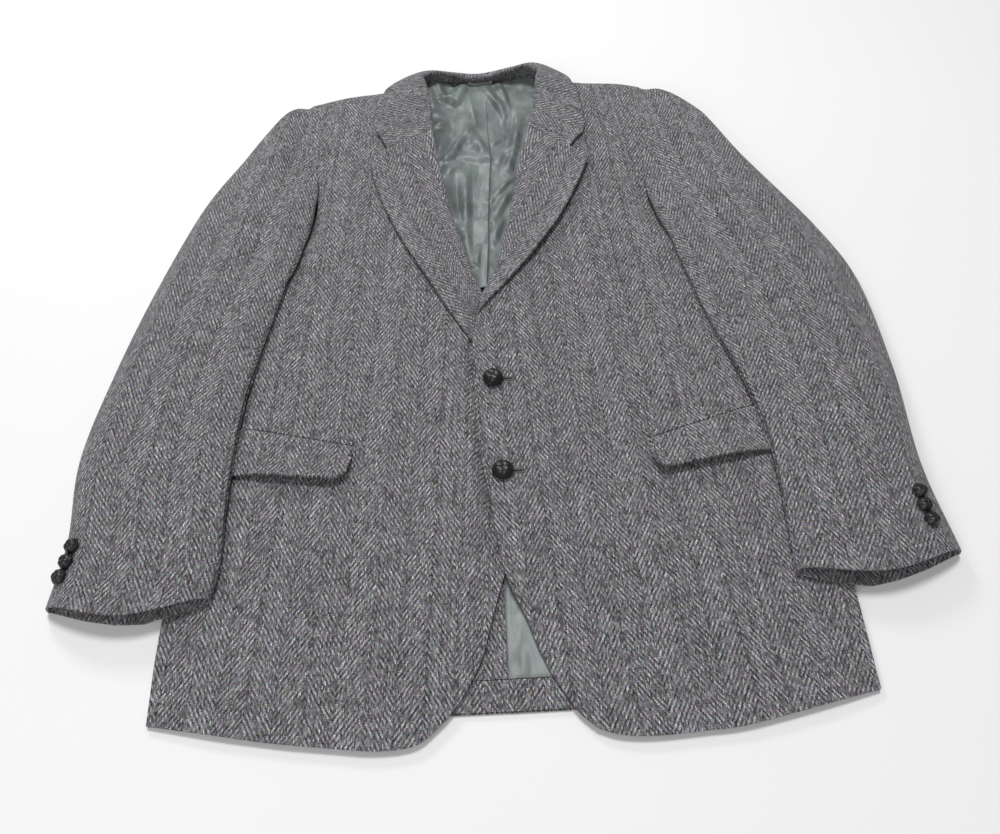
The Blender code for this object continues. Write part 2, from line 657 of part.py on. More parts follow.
def collar_rows(fronts):
    """The collar's shown face, from the right lapel round the neck to the left lapel."""
    stations = [(RIGHT, row) for row in COLLAR[RIGHT]]
    stations.append((LEFT, COLLAR_BACK))
    stations += [(LEFT, row) for row in COLLAR[LEFT][::-1]]
    rows = []
    for side, (out, up, neck_z, rise, lean, edge_out, edge_up, edge_z, round_back) in stations:
        shift = CENTRE_BACK if (out == 0) else 0
        neck = np.array((side * out + shift, up))
        edge = np.array((side * edge_out + shift, edge_up))
        inward = (neck - edge) / np.linalg.norm(neck - edge)
        neck_z = neck_z or height_on(fronts, *neck) - TWEED / 2
        edge_z = edge_z or height_on(fronts, *edge) + CLEAR + FACED_TWEED + LAPEL_EDGE_LIFT
        crest = neck + inward * lean
        crest_z = neck_z + rise
        row = []
        for share in COLLAR_SHARES:
            x, at_up = crest + share * (edge - crest)
            drop = (1 - round_back) * share**COLLAR_DROP + round_back * (1 - math.sqrt(1 - share**2))
            z = crest_z - (crest_z - edge_z) * drop
            floor_z = height_on(fronts, x, at_up, otherwise=0) + CLEAR + FACED_TWEED
            row.append((x, at_up, max(z, floor_z) if edge_up < COLLAR_ON_FRONT else z))
        for turn in np.radians(COLLAR_TURNS):
            x, at_up = crest + inward * FOLD_RADIUS * math.sin(turn)
            row.append((x, at_up, crest_z - FOLD_RADIUS + FOLD_RADIUS * math.cos(turn)))
        foot = (*(neck + inward * FOLD_RADIUS), neck_z - COLLAR_FOOT_DROP)
        shoulder = row[-1]
        row.append(tuple(0.5 * (a + b) for a, b in zip(shoulder, foot)))
        row.append(foot)
        rows.append(row)
    return np.array([*rows[:2], *curve_of_rows(rows[2:-2]), *rows[-2:]])


def sleeve_edges(side):
    """Inner and outer folded edges of a sleeve in plan, and the short edge at the sleeve head."""
    armhole = curve(to_side(side, ARMHOLE[side]))
    moved = armhole - np.array((side * CAP_OVERLAP, 0))
    upper = moved[moved[:, 1] > ARMHOLE[side][3][1]]
    inner = np.vstack([curve(to_side(side, SLEEVE_INNER[side]) + [tuple(upper[0])]), upper[1:]])
    outer = curve(to_side(side, SLEEVE_OUTER[side]))
    middle = 0.5 * (inner[-1] + outer[-1]) + (0, HEAD_BOW)
    head = curve([inner[-1], middle, outer[-1]])
    return inner, outer, head


def over_the_side(body_side, front, edge, far):
    """A row of the undersleeve that lies on the front, then steps down over the body's side."""
    up = edge[1]
    beside = np.array((np.interp(up, body_side[:, 1], body_side[:, 0]), up))
    start, full, fall, end = FLAP_ROOM_UP
    over_flap = FLAP_ROOM * easing(up, start, full) * (1 - easing(up, fall, end))
    row = []
    for part in LYING:
        x, at_up = edge + part * (beside - edge)
        room = over_flap * (1 - easing(part, *OVER_FLAP_SHARES))
        spread = max(easing(part, 0, UNDERARM_EDGE), easing(up, *UNDERARM_WIDE_UP))
        room += UNDERARM_ROOM * easing(up, *UNDERARM_ROOM_UP) * spread
        row.append((x, at_up, max(height_on(front, x, at_up, otherwise=0), SIDE_HEIGHT) + CLEAR + room))
    for part in FREE:
        row.append((*(beside + part * (far - beside)), 0 if part else SIDE_HEIGHT + CLEAR))
    return row


def beside_the_body(edge, far, middle_share, edge_z=0):
    """A row of the undersleeve that lies on the surface beside the armhole."""
    middle = edge + middle_share * (far - edge)
    row = [(*(edge + part * (middle - edge)), edge_z * (1 - part)) for part in LYING]
    return row + [(*(middle + part * (far - middle)), 0) for part in FREE]


def undersleeve_grid(side, front, back, head_z):
    """The undersleeve's lower face: on the front inside the side edge, and on the surface outside it."""
    _, outer, _ = sleeve_edges(side)
    outer = moved_in(outer, UNDERSLEEVE_INSET, side)
    fold = curve(to_side(side, SLEEVE_INNER[side]))
    body_side = curve(to_side(side, SIDE[side])) + np.array((side * SIDE_MARGIN, 0))
    armhole = back[back[:, -1, 1] > SIDE[side][-1][1], -1, :2] + np.array((side * UNDER_SEAM, 0))
    notch_on_front = np.array(to_side(side, NOTCH_ON_FRONT[side]))
    cuff_up = fold[0, 1]
    length = armhole[-1, 1] - cuff_up
    rows = []
    for up in np.linspace(cuff_up, notch_on_front[0, 1] - BELOW_NOTCH, UNDERSLEEVE_ROWS):
        edge = np.array((np.interp(up, fold[:, 1], fold[:, 0]), up))
        rows.append(over_the_side(body_side, front, edge, at_share(outer, (up - cuff_up) / length)))
    for edge in notch_on_front:
        rows.append(over_the_side(body_side, front, edge, at_share(outer, (edge[1] - cuff_up) / length)))
    for number, (out, up, middle_share) in enumerate(NOTCH_BESIDE[side], 2):
        far = at_share(outer, (up - cuff_up) / length + NOTCH_REACH * number)
        edge_z = SIDE_HEIGHT + CLEAR if number == 2 else 0
        rows.append(beside_the_body(np.array((side * out, up)), far, middle_share, edge_z))
    seam = armhole[armhole[:, 1] > ARMHOLE[side][4][1] - 0.001]
    seam_length = seam[-1, 1] - seam[0, 1]
    for share in (*ARMHOLE_ROWS, *from_far_end(ARMHOLE_TOP_ROWS, seam_length)):
        edge = at_share(seam, share)
        reach = 1 - (armhole[-1, 1] - edge[1]) / length * OVER_NOTCH
        rows.append(beside_the_body(edge, at_share(outer, reach), ARMHOLE_SHARE))
    grid = np.array(rows)
    across_cuff = (grid[0, :, 0] - grid[0, 0, 0]) / (grid[0, -1, 0] - grid[0, 0, 0])
    bow = UNDER_CUFF_BOW * np.sin(math.pi * across_cuff)
    grid[0, :, 1] -= bow
    grid[1, :, 1] -= bow / 2
    along_head = np.linalg.norm(grid[-1, :, :2] - grid[-1, 0, :2], axis=-1)
    top = np.interp(along_head / along_head[-1], np.linspace(0, 1, len(head_z)), np.maximum(head_z, 0))
    from_head = np.linalg.norm(grid[..., :2] - grid[-1:, :, :2], axis=-1)
    grid[..., 2] += rounded_drop(from_head, HEAD_RISE) * top
    return grid


def head_heights(side, front):
    """Heights of the topsleeve's edge at the shoulder, from the armhole seam to the outer fold."""
    share = np.linspace(0, 1, 13)
    start = height_on(front, *at_share(curve(to_side(side, ARMHOLE[side])), 1)) + TWEED + FOLD_ROOM
    base = (1 - share) * start + share * SLEEVE_EDGE
    arch = (1 - np.abs(2 * share - 1) ** SLEEVE_FULLNESS) ** (1 / SLEEVE_FULLNESS)
    return base + (SLEEVE_HEIGHT[-1][1] - SHOULDER_DROP - base) * arch


def topsleeve_grid(side, under, front):
    """The topsleeve's outer face, arched between its folded edges."""
    inner, outer, head = sleeve_edges(side)
    middle = 0.5 * (inner[0] + outer[0]) - np.array((0, CUFF_BOW))
    cuff = curve([tuple(inner[0]), tuple(middle), tuple(outer[0])])
    across = [(1 - math.cos(math.pi * k / SLEEVE_COLUMNS)) / 2 for k in range(SLEEVE_COLUMNS + 1)] + [1]
    rows, end = SLEEVE_ROWS
    along = (*np.linspace(0, end, rows), *from_far_end(SLEEVE_TOP_ROWS, SLEEVE_LENGTH))
    plan = patch(inner, outer, cuff, head, across, along)
    u = np.array(across)[None, :]
    beside = np.array((side * FOLD_PROBE, 0))
    below = [
        max(
            height_on(under, *(row[0] + beside), otherwise=0),
            height_on(under, *(row[0] + 3 * beside), otherwise=0),
            height_on(front, *(row[0] - beside)) + TWEED,
        )
        for row in plan
    ]
    base = (1 - u) * (np.array(below) + FOLD_ROOM)[:, None] + u * SLEEVE_EDGE
    height = steps(SLEEVE_HEIGHT, plan[..., 1])
    arch = (1 - np.abs(2 * u - 1) ** SLEEVE_FULLNESS) ** (1 / SLEEVE_FULLNESS)
    from_head = np.linalg.norm(plan - plan[-1:], axis=-1)
    height = height - SHOULDER_DROP * rounded_drop(from_head, SHOULDER_ROUND)
    z = base + (height - base) * arch - trough(side, SLEEVE_FOLDS[side], plan) * arch
    z[:, -2] += SLEEVE_EDGE_RISE
    return np.dstack([plan, z])


def lay_flap(side, front):
    """A pocket flap's shown face, moved out from the front it lies on."""
    top_front, top_back, low_front, low_back = (np.array((side * out, up)) for out, up in FLAP[side])
    length = np.linalg.norm(low_back - low_front)
    corner_shares = [turn * FLAP_CORNER / length for turn in FLAP_CORNER_SHARES]
    shares = (*corner_shares, *FLAP_SHARES)
    rows = []
    for down in np.linspace(0, 1, FLAP_ROWS):
        row = []
        for share in shares:
            top = top_front + share * (top_back - top_front)
            low = low_front + share * (low_back - low_front)
            low[1] += FLAP_CORNER * rounded_drop(share * length, FLAP_CORNER)
            x, up = top + down * (low - top)
            free = FLAP_LIFT * (1 - 0.5 * easing(share, *FLAP_HELD))
            row.append((x, up, height_on(front, x, up) + CLEAR + FACED_TWEED + free * down**FLAP_CURL))
        rows.append(row)
    return np.array(rows)


def lay_jet(side, front):
    """The narrow jet sewn along the top of a pocket flap."""
    start, end = (np.array((side * out, up + JET_GAP)) for out, up in FLAP[side][:2])
    rows = []
    for rise in (JET_WIDTH, 0):
        line = [start + share * JET_SHARE * (end - start) + (0, rise) for share in np.linspace(0, 1, JET_COLUMNS)]
        rows.append([(x, up, height_on(front, x, up) + SEAM + JET_WALL) for x, up in line])
    return np.array(rows)


def flat_strip(corners, z, columns=2, lines=2):
    """A flat piece between two opposite corners in plan."""
    (x0, up0), (x1, up1) = corners
    ups = np.linspace(up0, up1, lines)
    return np.array([[(x, up, z) for x in np.linspace(x0, x1, columns)] for up in ups])


def neck_lining_grid(inside):
    """The lining that shows in the neck: it lies on the inside of the backs, with a pleat down the middle."""
    neck = []
    for side, rows in ((RIGHT, COLLAR[RIGHT][5:]), (LEFT, COLLAR[LEFT][:4:-1])):
        neck += [neck_edge(side, row, -LINING_INSET) for row in rows]
    low = curve(LINING_LOW)
    top = curve(neck)
    right = curve((low[0], *to_side(RIGHT, LINING_SIDE[RIGHT]), top[0]))
    left = curve((low[-1], *to_side(LEFT, LINING_SIDE[LEFT]), top[-1]))
    plan = patch(right, left, low, top, LINING_COLUMNS, np.linspace(0, 1, LINING_ROWS))
    rows = []
    for line in plan:
        middle = line[6][0]
        row = []
        for x, up in line:
            away = x - middle
            pleat = PLEAT_HEIGHT * math.exp(-((away / PLEAT_WIDTH) ** 2)) * easing(up, *PLEAT_UP)
            hollow = LINING_RISE * (away / LINING_HALF_WIDTH) ** 2
            row.append((x, up, height_on(inside, x, up) + TWEED + CLEAR + LINING + pleat + hollow))
        rows.append(row)
    return np.array(rows)


def button(name, diameter, x, up, panel):
    """A domed button on a short shank, square to the cloth below it."""
    mesh = bpy.data.meshes.new(name)
    points = [(out * diameter, 0, height * diameter) for out, height in BUTTON_PROFILE]
    mesh.from_pydata(points, [(k, k + 1) for k in range(len(points) - 1)], [])
    made = place(name, mesh, "leather")
    turned = made.modifiers.new("turned", "SCREW")
    turned.steps = turned.render_steps = BUTTON_SIDES
    turned.use_merge_vertices = True
    turned.merge_threshold = 0.00001
    reach = diameter / 3
    slope_x = height_on(panel, x + reach, up) - height_on(panel, x - reach, up)
    slope_up = height_on(panel, x, up + reach) - height_on(panel, x, up - reach)
    facing = Vector((-slope_x, -slope_up, 2 * reach)).normalized()
    made.rotation_euler = facing.to_track_quat("Z", "Y").to_euler()
    seat = Vector((x, up, height_on(panel, x, up))) + facing * BUTTON_SEAT
    made.location = (seat.x - OUTLINE_MIDDLE[0], seat.y - OUTLINE_MIDDLE[1], seat.z)


for old in list(bpy.data.objects):
    bpy.data.objects.remove(old, do_unlink=True)
JACKET = bpy.data.collections.new("tweed_jacket")
bpy.context.scene.collection.children.link(JACKET)

fronts = {side: front_grid(side) for side in (RIGHT, LEFT)}
backs = {side: back_grid(side) for side in (RIGHT, LEFT)}
for side, label in ((RIGHT, "right"), (LEFT, "left")):
    cloth(f"front_{label}", fronts[side], TWEED)
    cloth(f"back_{label}", backs[side], TWEED, grow_down=False)
    front = surface(fronts[side])
    cloth(f"lapel_{label}", lapel_rows(side, front), FACED_TWEED)
    cloth(f"pocket_flap_{label}", lay_flap(side, front), FACED_TWEED)
    cloth(f"pocket_jet_{label}", lay_jet(side, front), JET_WALL)
    head_z = head_heights(side, front)
    under = undersleeve_grid(side, front, backs[side], head_z - TWEED - FOLD_ROOM)
    cloth(f"undersleeve_{label}", under, TWEED, grow_down=False)
    under_top = surface(under + np.array((0, 0, TWEED)))
    top = topsleeve_grid(side, under_top, front)
    cloth(f"topsleeve_{label}", top, TWEED)
    top_face = surface(top)
    out, up = CUFF_BUTTONS[side]
    for number in range(3):
        name = f"cuff_button_{label}_{number + 1}"
        button(name, CUFF_BUTTON, side * out, up + number * CUFF_BUTTON_PITCH, top_face)
cloth("collar", collar_rows(surface(*fronts.values())), FACED_TWEED)
for number, (x, up) in enumerate(zip(BUTTONS_X, BUTTONS_UP), 1):
    button(f"front_button_{number}", FRONT_BUTTON, x, up, surface(fronts[LEFT]))

facing_z = TWEED + CLEAR + LINING
cloth("back_hem_facing", flat_strip(HEM_FACING, facing_z, columns=6), LINING)
cloth("vent_facing", flat_strip(VENT_FACING, facing_z, lines=4), LINING)
cloth("skirt_lining", flat_strip(SKIRT_LINING, facing_z, columns=4, lines=4), LINING, "satin")
cloth("neck_lining", neck_lining_grid(surface(*backs.values())), LINING, "satin")
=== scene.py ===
"""A tweed jacket laid flat: herringbone cloth, satin lining, woven leather buttons and worked buttonholes.

Metres, +Z up, the hem towards -Y. Right and left are the wearer's: the right side is at -X.
In the tables, `out` is the distance from the centre line to either side, `up` the distance from the
front hem towards the neck, and `z` the height above the surface that the jacket lies on. The rows
inside mm() are millimetres. The tables of the jacket's own sizes are those that its solids are made
from, and each piece of cloth keeps their form.
"""

import math

from functools import partial

import bmesh
import bpy
import numpy as np
from mathutils import Euler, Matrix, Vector
from mathutils.bvhtree import BVHTree


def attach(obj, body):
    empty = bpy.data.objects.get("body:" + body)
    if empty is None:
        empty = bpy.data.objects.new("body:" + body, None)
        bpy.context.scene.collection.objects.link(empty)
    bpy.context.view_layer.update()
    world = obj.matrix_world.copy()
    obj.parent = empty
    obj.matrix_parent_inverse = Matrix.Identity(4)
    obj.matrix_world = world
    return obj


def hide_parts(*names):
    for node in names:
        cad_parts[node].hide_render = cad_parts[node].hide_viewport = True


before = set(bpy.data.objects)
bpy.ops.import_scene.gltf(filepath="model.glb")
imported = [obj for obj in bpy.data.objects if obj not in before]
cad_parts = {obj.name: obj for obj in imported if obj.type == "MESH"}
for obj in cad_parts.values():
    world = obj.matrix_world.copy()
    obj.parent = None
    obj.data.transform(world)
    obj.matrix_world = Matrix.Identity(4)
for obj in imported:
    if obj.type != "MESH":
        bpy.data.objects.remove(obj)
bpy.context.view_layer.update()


def mm(*rows, shares=0):
    """Rows of millimetres as metres. As many numbers at a row's end as there are shares stay as they are."""
    lengths = len(rows[0]) - shares
    return [tuple(float(f"{v}e-3") for v in row[:lengths]) + row[lengths:] for row in rows]


OUTLINE_MIDDLE = (-0.0044, 0.4385)  # x, up: the middle of the whole outline, where the origin is
TWEED = 0.002
FACED_TWEED = 0.0024  # lapels, collar and flaps: two cloths pressed into one wall
LINING = 0.001
SEAM = 0.0003
CLEAR = 0.0007  # between a panel and what lies on it
FRONT_BUTTON = 0.0205
CUFF_BUTTON = 0.0146
CENTRE_BACK = -0.004  # x of the centre back seam and the vent
BACK_HEM_UP = 0.022

RIGHT, LEFT = -1, 1

# The top of the chest: height of the fronts' outer face.
CHEST = mm(  # up, z
    (-20, 7), (100, 9), (250, 12), (400, 16), (520, 21), (640, 27), (740, 32), (790, 34), (900, 34),
)
SIDE_HEIGHT = 0.0045  # of the fronts' outer face along the folded side
SIDE_ROUND = 0.070  # the fronts reach the chest's height this far in from the side
ARMHOLE_HEIGHT = mm(  # up, z of the fronts' outer face along the armhole
    (540, 4.5), (560, 6), (600, 13), (640, 20), (690, 26), (735, 30.2), (790, 32.5), (815, 34),
)
ARMHOLE_ROUND = 0.045
SHOULDER_ROUND = 0.022
SHOULDER_DROP = 0.008
SHOULDER_JOIN = 0.0019  # from the front's outer face down to the back's edge at the shoulder seam

SIDE = {  # out, up, from the hem corner to the underarm
    RIGHT: mm((299, 26), (302, 108), (298, 220), (290, 330), (286, 440), (287, 556)),
    LEFT: mm((296, 25), (299, 125), (296, 220), (289, 330), (285, 440), (284, 548)),
}
ARMHOLE = {  # out, up, from the underarm to the shoulder seam
    RIGHT: mm(
        (287, 556), (265, 562), (238, 575), (213, 598), (203, 640), (210, 690), (217, 735), (212, 775),
        (204, 813),
    ),
    LEFT: mm(
        (284, 548), (262, 551), (232, 561), (205, 578), (192, 620), (194, 680), (200, 735), (203, 775),
        (202, 811),
    ),
}
# The largest soft folds, as troughs along straight lines.
FRONT_FOLDS = {  # out, up, out, up, half width, depth
    RIGHT: mm((232, 560, 185, 470, 30, 4), (262, 150, 205, 20, 34, 2.2), (130, 200, 118, 30, 36, 1.6)),
    LEFT: mm((222, 545, 180, 450, 30, 4), (150, 180, 170, 30, 36, 2), (262, 180, 238, 40, 32, 2.2)),
}
SLEEVE_FOLDS = {
    RIGHT: mm(
        (262, 372, 338, 405, 26, 5), (330, 300, 392, 345, 24, 3.2), (248, 560, 285, 500, 28, 5),
        (350, 190, 378, 240, 26, 2.5),
    ),
    LEFT: mm(
        (252, 402, 330, 440, 26, 5), (330, 330, 388, 372, 24, 3.5), (240, 545, 280, 480, 28, 5),
        (285, 215, 312, 270, 26, 2.5),
    ),
}
SHOULDER_SEAM = mm((86, 846), (125, 832), (173, 826))  # out, up, from the neck to near the armhole
FRONT_EDGE = {  # x, up, from the hem round the cutaway, along the lap and the roll to the neck
    RIGHT: mm(
        (-62, 12), (-52, 22), (-39, 40), (-25, 67), (-16, 100), (-1, 150), (10, 210), (17, 290), (15, 360),
        (0, 430), (-21, 490), (-47, 592), (-67, 711), (-70, 775), (-86, 846),
    ),
    LEFT: mm(
        (65, 5), (52, 17), (43, 31), (31, 52), (22, 74), (14, 99), (-3, 144), (-14, 222), (-21, 275),
        (-24, 340), (-24, 400), (-11, 455), (6, 500), (26, 584), (48, 700), (64, 775), (86, 846),
    ),
}
FRONT_HEM = {  # x, up, from the cutaway to the side
    RIGHT: mm((-62, 12), (-80, -1), (-110, -4), (-147, 0), (-204, 8), (-299, 26)),
    LEFT: mm((65, 5), (83, -1), (110, -3), (150, -1), (192, 3), (296, 25)),
}

# How far the left front is raised by what it laps over.
LAP_RISE = mm((60, 0), (140, 2.8), (340, 2.8), (400, 6.2), (470, 6.2), (540, 1), (600, 0))  # up, z
LAP_FLAT = 0.024  # x up to which the rise is whole
LAP_END = 0.062  # x where it has died away

# Lapels: the free edge and the fold, from the bottom to the line where the collar is sewn on.
LAPEL = {  # edge x, edge up, fold x, fold up, wrap
    RIGHT: mm(
        (-16, 395, -3, 436, 0.1), (-29, 412, -12, 466, 0.25), (-48, 446, -21, 490, 0.5),
        (-67, 484, -30, 524, 0.8), (-89, 528, -38, 556, 1), (-110, 575, -47, 592, 1),
        (-124, 614, -54, 634, 1), (-135, 652, -61, 678, 1), (-142, 690, -68, 740, 1),
        shares=1,
    ),
    LEFT: mm(
        (-18, 434, -16, 444, 0.1), (-2, 458, -9, 462, 0.25), (18, 482, 3, 492, 0.5), (36, 506, 13, 530, 0.8),
        (55, 535, 19, 556, 1), (76, 568, 27, 590, 1), (94, 602, 35, 634, 1), (109, 636, 42, 672, 1),
        (123, 671, 55, 738, 1),
        shares=1,
    ),
}
NECK_ROOM = 0.0032  # from the foot line of the collar's stand out to the body's neck edge
FOLD_RADIUS = 0.0042  # of a lapel's outer face round the front's edge
LAPEL_PUFF = 0.0022

# Collar: the neck edge it is sewn to, its crest above that edge, and its free edge.
# A z of 0 means that it lies on the fronts there.
COLLAR = {  # neck out, neck up, neck z, rise, lean, edge out, edge up, edge z, round
    RIGHT: mm(
        (68.5, 740.8, 0, 4.2, 0, 120, 705.8, 0, 0), (69, 758, 0, 4.2, 0, 129, 727, 0, 0),
        (70, 776, 0, 5, 0, 137, 748, 0, 0), (73.8, 804, 0, 9, 1, 133, 785, 0, 0),
        (80, 828, 0, 13.5, 3, 126, 820, 0, 0.1), (86, 847, 26, 17.5, 6, 116, 852, 26, 0.5),
        (70, 864, 20, 18.5, 8, 90, 874, 10, 0.9), (38, 869, 15, 16.2, 8, 46, 880, 2, 1),
        shares=1,
    ),
    LEFT: mm(
        (55.5, 739, 0, 4.2, 0, 101, 693.5, 0, 0), (59.5, 756, 0, 4.2, 0, 112, 710, 0, 0),
        (64, 776, 0, 5, 0, 122, 726, 0, 0), (72, 804, 0, 9, 3, 121, 775, 0, 0),
        (79, 828, 0, 13.5, 6, 115, 818, 0, 0.1), (86, 847, 26, 17.5, 10.5, 110, 852, 26, 0.5),
        (70, 864, 20, 23.8, 12.5, 88, 874, 10, 0.9), (38, 869, 15, 19.5, 7.5, 46, 880, 2, 1),
        shares=1,
    ),
}
COLLAR_BACK = (0.0, 0.8700, 0.0130, 0.0143, 0.0090, 0.0, 0.8810, 0.0010, 1.0)  # at the centre back
COLLAR_BEHIND = 5  # the rows from this one on run from the shoulder seam round the back

# Sleeves: folded edges from the cuff to the shoulder. The inner one ends at the armhole.
SLEEVE_INNER = {  # out, up
    RIGHT: mm((259, 129), (254.5, 165), (256.5, 253), (251, 359), (227, 484), (212, 550)),
    LEFT: mm((249, 128), (251, 165), (254.5, 264), (244, 334), (219, 437), (205, 520)),
}
SLEEVE_OUTER = {  # out, up
    RIGHT: mm(
        (406, 131), (402, 196), (411, 283), (400, 381), (379, 493), (344, 627), (305, 708), (278, 764),
        (257, 797),
    ),
    LEFT: mm(
        (400, 141), (393, 232), (401, 345), (399, 468), (376, 548), (345, 617), (312, 686), (277, 771),
        (246, 797),
    ),
}
SLEEVE_HEIGHT = mm((100, 28), (250, 31), (400, 33), (550, 36), (700, 38.5), (830, 40))  # up, z
CUFF_BOW = 0.016  # how far the upper edge of a cuff bows towards the hem
UNDER_CUFF_BOW = 0.014
# The undersleeve's edge round the underarm, where it leaves the front and turns up along the armhole.
NOTCH_ON_FRONT = {  # out, up
    RIGHT: mm((236, 518), (262, 540)),
    LEFT: mm((228, 500), (256, 527)),
}
NOTCH_BESIDE = {  # out, up, share of the width out to the undersleeve's middle line
    RIGHT: mm((292, 559, 0.1), (268, 568.5, 0.2), (242, 581, 0.27), (216.5, 602, 0.33), shares=1),
    LEFT: mm((289, 550, 0.1), (265, 557.5, 0.2), (236, 567, 0.27), (208.5, 582, 0.33), shares=1),
}
BELOW_NOTCH = 0.025  # the last straight row ends this far below the notch
ARMHOLE_SHARE = 0.35  # of the width out to the middle line, beside the armhole
NOTCH_REACH = 0.0125  # each row round the notch reaches this share further up the outer edge
OVER_NOTCH = 0.62  # how far the outer ends of the rows beside the armhole are spread
LYING = (0, 0.25, 0.50, 0.75)  # shares of a row from the undersleeve's edge to its middle line
FREE = (0, 0.14, 0.40, 0.70, 1)  # shares from there to the outer fold
UNDERSLEEVE_INSET = 0.0036
SIDE_MARGIN = 0.004
SLEEVE_EDGE = 0.0005
UNDERARM_ROOM = 0.0030  # more room between the front and the undersleeve beside the underarm
UNDER_SEAM = 0.0016  # from the back's armhole edge to the undersleeve
FOLD_ROOM = 0.0030  # between the topsleeve's inner fold and what it lies on
HEAD_BOW = 0.002
HEAD_RISE = 0.028  # the undersleeve rises to the sleeve head over this width
FLAP_ROOM = 0.0056  # the sleeve rises this much where it lies over the end of a flap
FLAP_ROOM_UP = (0.175, 0.205, 0.355, 0.395)  # up where that room starts, is whole, dies away and ends
SLEEVE_FULLNESS = 2.6  # exponent of the sleeve's rounded section

# Pocket flaps, on the fronts: corners from the front end to the end under the sleeve.
FLAP = {  # top front, top back, bottom front, bottom back (out, up)
    RIGHT: mm((144, 283.5), (268, 315), (148, 241.5), (270, 257)),
    LEFT: mm((142, 275), (266, 313), (144, 235), (268, 256)),
}
FLAP_CORNER = 0.013  # radius of the rounded front corner
JET_GAP = 0.0006
JET_SHARE = 0.86  # of the flap's top edge: the rest is under the sleeve
JET_WIDTH = 0.005
JET_WALL = 0.0012

# Inside of the back, where it shows.
HEM_FACING = mm((-88, 22.8), (98, 49))  # x, up of two opposite corners
VENT_FACING = mm((-46, 49.5), (-4.5, 205))
SKIRT_LINING = mm((-3.8, 49.5), (98, 205))
LINING_SIDE = {  # out, up
    RIGHT: mm((112, 560), (118, 700), (104, 800)),
    LEFT: mm((98, 560), (104, 700), (98, 800)),
}
LINING_INSET = 0.0052  # inside the foot of the collar's stand
LINING_HALF_WIDTH = 0.110
LINING_RISE = 0.004  # at that distance from the middle

BUTTONS_UP = (0.353, 0.2445)
BUTTONS_X = (-0.005, 0.000)
BUTTON_PROFILE = (  # out, height, in shares of the diameter, from the dome down to the shank's foot
    (0, 0.46), (0.2, 0.44), (0.36, 0.36), (0.46, 0.25), (0.5, 0.15), (0.46, 0.09), (0.32, 0.06),
    (0.16, 0.055), (0.16, 0), (0, 0),
)
PROFILE_COVERED = 6  # rows of it that the leather strips follow
BUTTON_SEAT = 0.0006
CUFF_BUTTON_TURN = (-25, 55)  # degrees, and degrees more from each button to the next
FRONT_BUTTON_TURN = (30, 25)
CUFF_BUTTONS = {  # out, up, from the button nearest the cuff
    RIGHT: mm((391.5, 154.5), (388.5, 169), (386.5, 183.5)),
    LEFT: mm((373, 164), (371, 178), (371.5, 192.5)),
}

# Grain: x and up of a point where two columns of the weave meet in a peak, and the lean of the warp.
PITCH_ACROSS = 0.0010125  # from one warp yarn to the next
PITCH_ALONG = 0.0016  # from one weft yarn to the next
ENDS_IN_COLUMN = 24
LIGHT_YARN = (0.325, 0.32, 0.335, 1)
DARK_YARN = (0.040, 0.038, 0.042, 1)
GRAIN = {  # x, up, lean of the warp towards +x (degrees)
    RIGHT: (-0.2086, 0.2290, 3.1),
    LEFT: (0.0357, 0.2141, -4.0),
}

# Soft creases of the dressed cloth, besides the large folds above. A height below 0 is a trough.
FRONT_CREASES = {  # out, up, end out, end up, half width, height
    RIGHT: mm(
        (165, 710, 150, 640, 40, -1.6), (85, 560, 70, 430, 36, 1.2), (196, 420, 150, 330, 30, -1.2),
        (150, 500, 120, 400, 28, -0.9), (110, 360, 60, 330, 22, -0.8), (215, 200, 225, 50, 26, -1.2),
        (180, 180, 190, 40, 22, 1), (85, 180, 80, 50, 26, 0.9), (250, 240, 262, 120, 20, 1),
    ),
    LEFT: mm(
        (132, 560, 128, 440, 22, 1.4), (160, 520, 150, 400, 24, -1.2), (80, 450, 75, 360, 20, 0.9),
        (105, 640, 150, 650, 26, -0.9), (110, 300, 90, 200, 26, -1), (205, 200, 215, 60, 26, -1.6),
        (180, 170, 186, 50, 20, 1), (120, 160, 128, 40, 22, 0.9), (245, 240, 255, 120, 20, 1),
    ),
}
SLEEVE_CREASES = {  # out, up, end out, end up, half width, height
    RIGHT: mm(
        (352, 420, 388, 320, 20, -2.2), (376, 270, 386, 190, 18, -1.6), (330, 260, 352, 170, 20, 1.2),
        (290, 250, 300, 150, 18, -1), (275, 440, 320, 480, 20, -1.6), (300, 600, 270, 680, 26, 1.2),
        (310, 540, 345, 500, 22, -1.2), (235, 740, 250, 660, 18, -1.2),
    ),
    LEFT: mm(
        (378, 470, 372, 360, 20, -2.2), (285, 350, 350, 330, 20, -1.4), (318, 430, 322, 330, 20, 1.3),
        (262, 720, 300, 640, 24, -1.8), (240, 660, 285, 590, 20, -1.4), (225, 740, 235, 680, 16, 1),
        (300, 540, 345, 520, 22, -1.2), (350, 250, 362, 170, 18, -1),
    ),
}
WAVES = (  # wavelength, direction (degrees), phase, height
    (0.21, 12, 0.4, 0.0003), (0.137, 74, 1.9, 0.00022), (0.089, 131, 3.1, 0.00016), (0.061, 41, 5.2, 0.0001),
)
CALM = 0.060  # the waves grow over this width from an edge

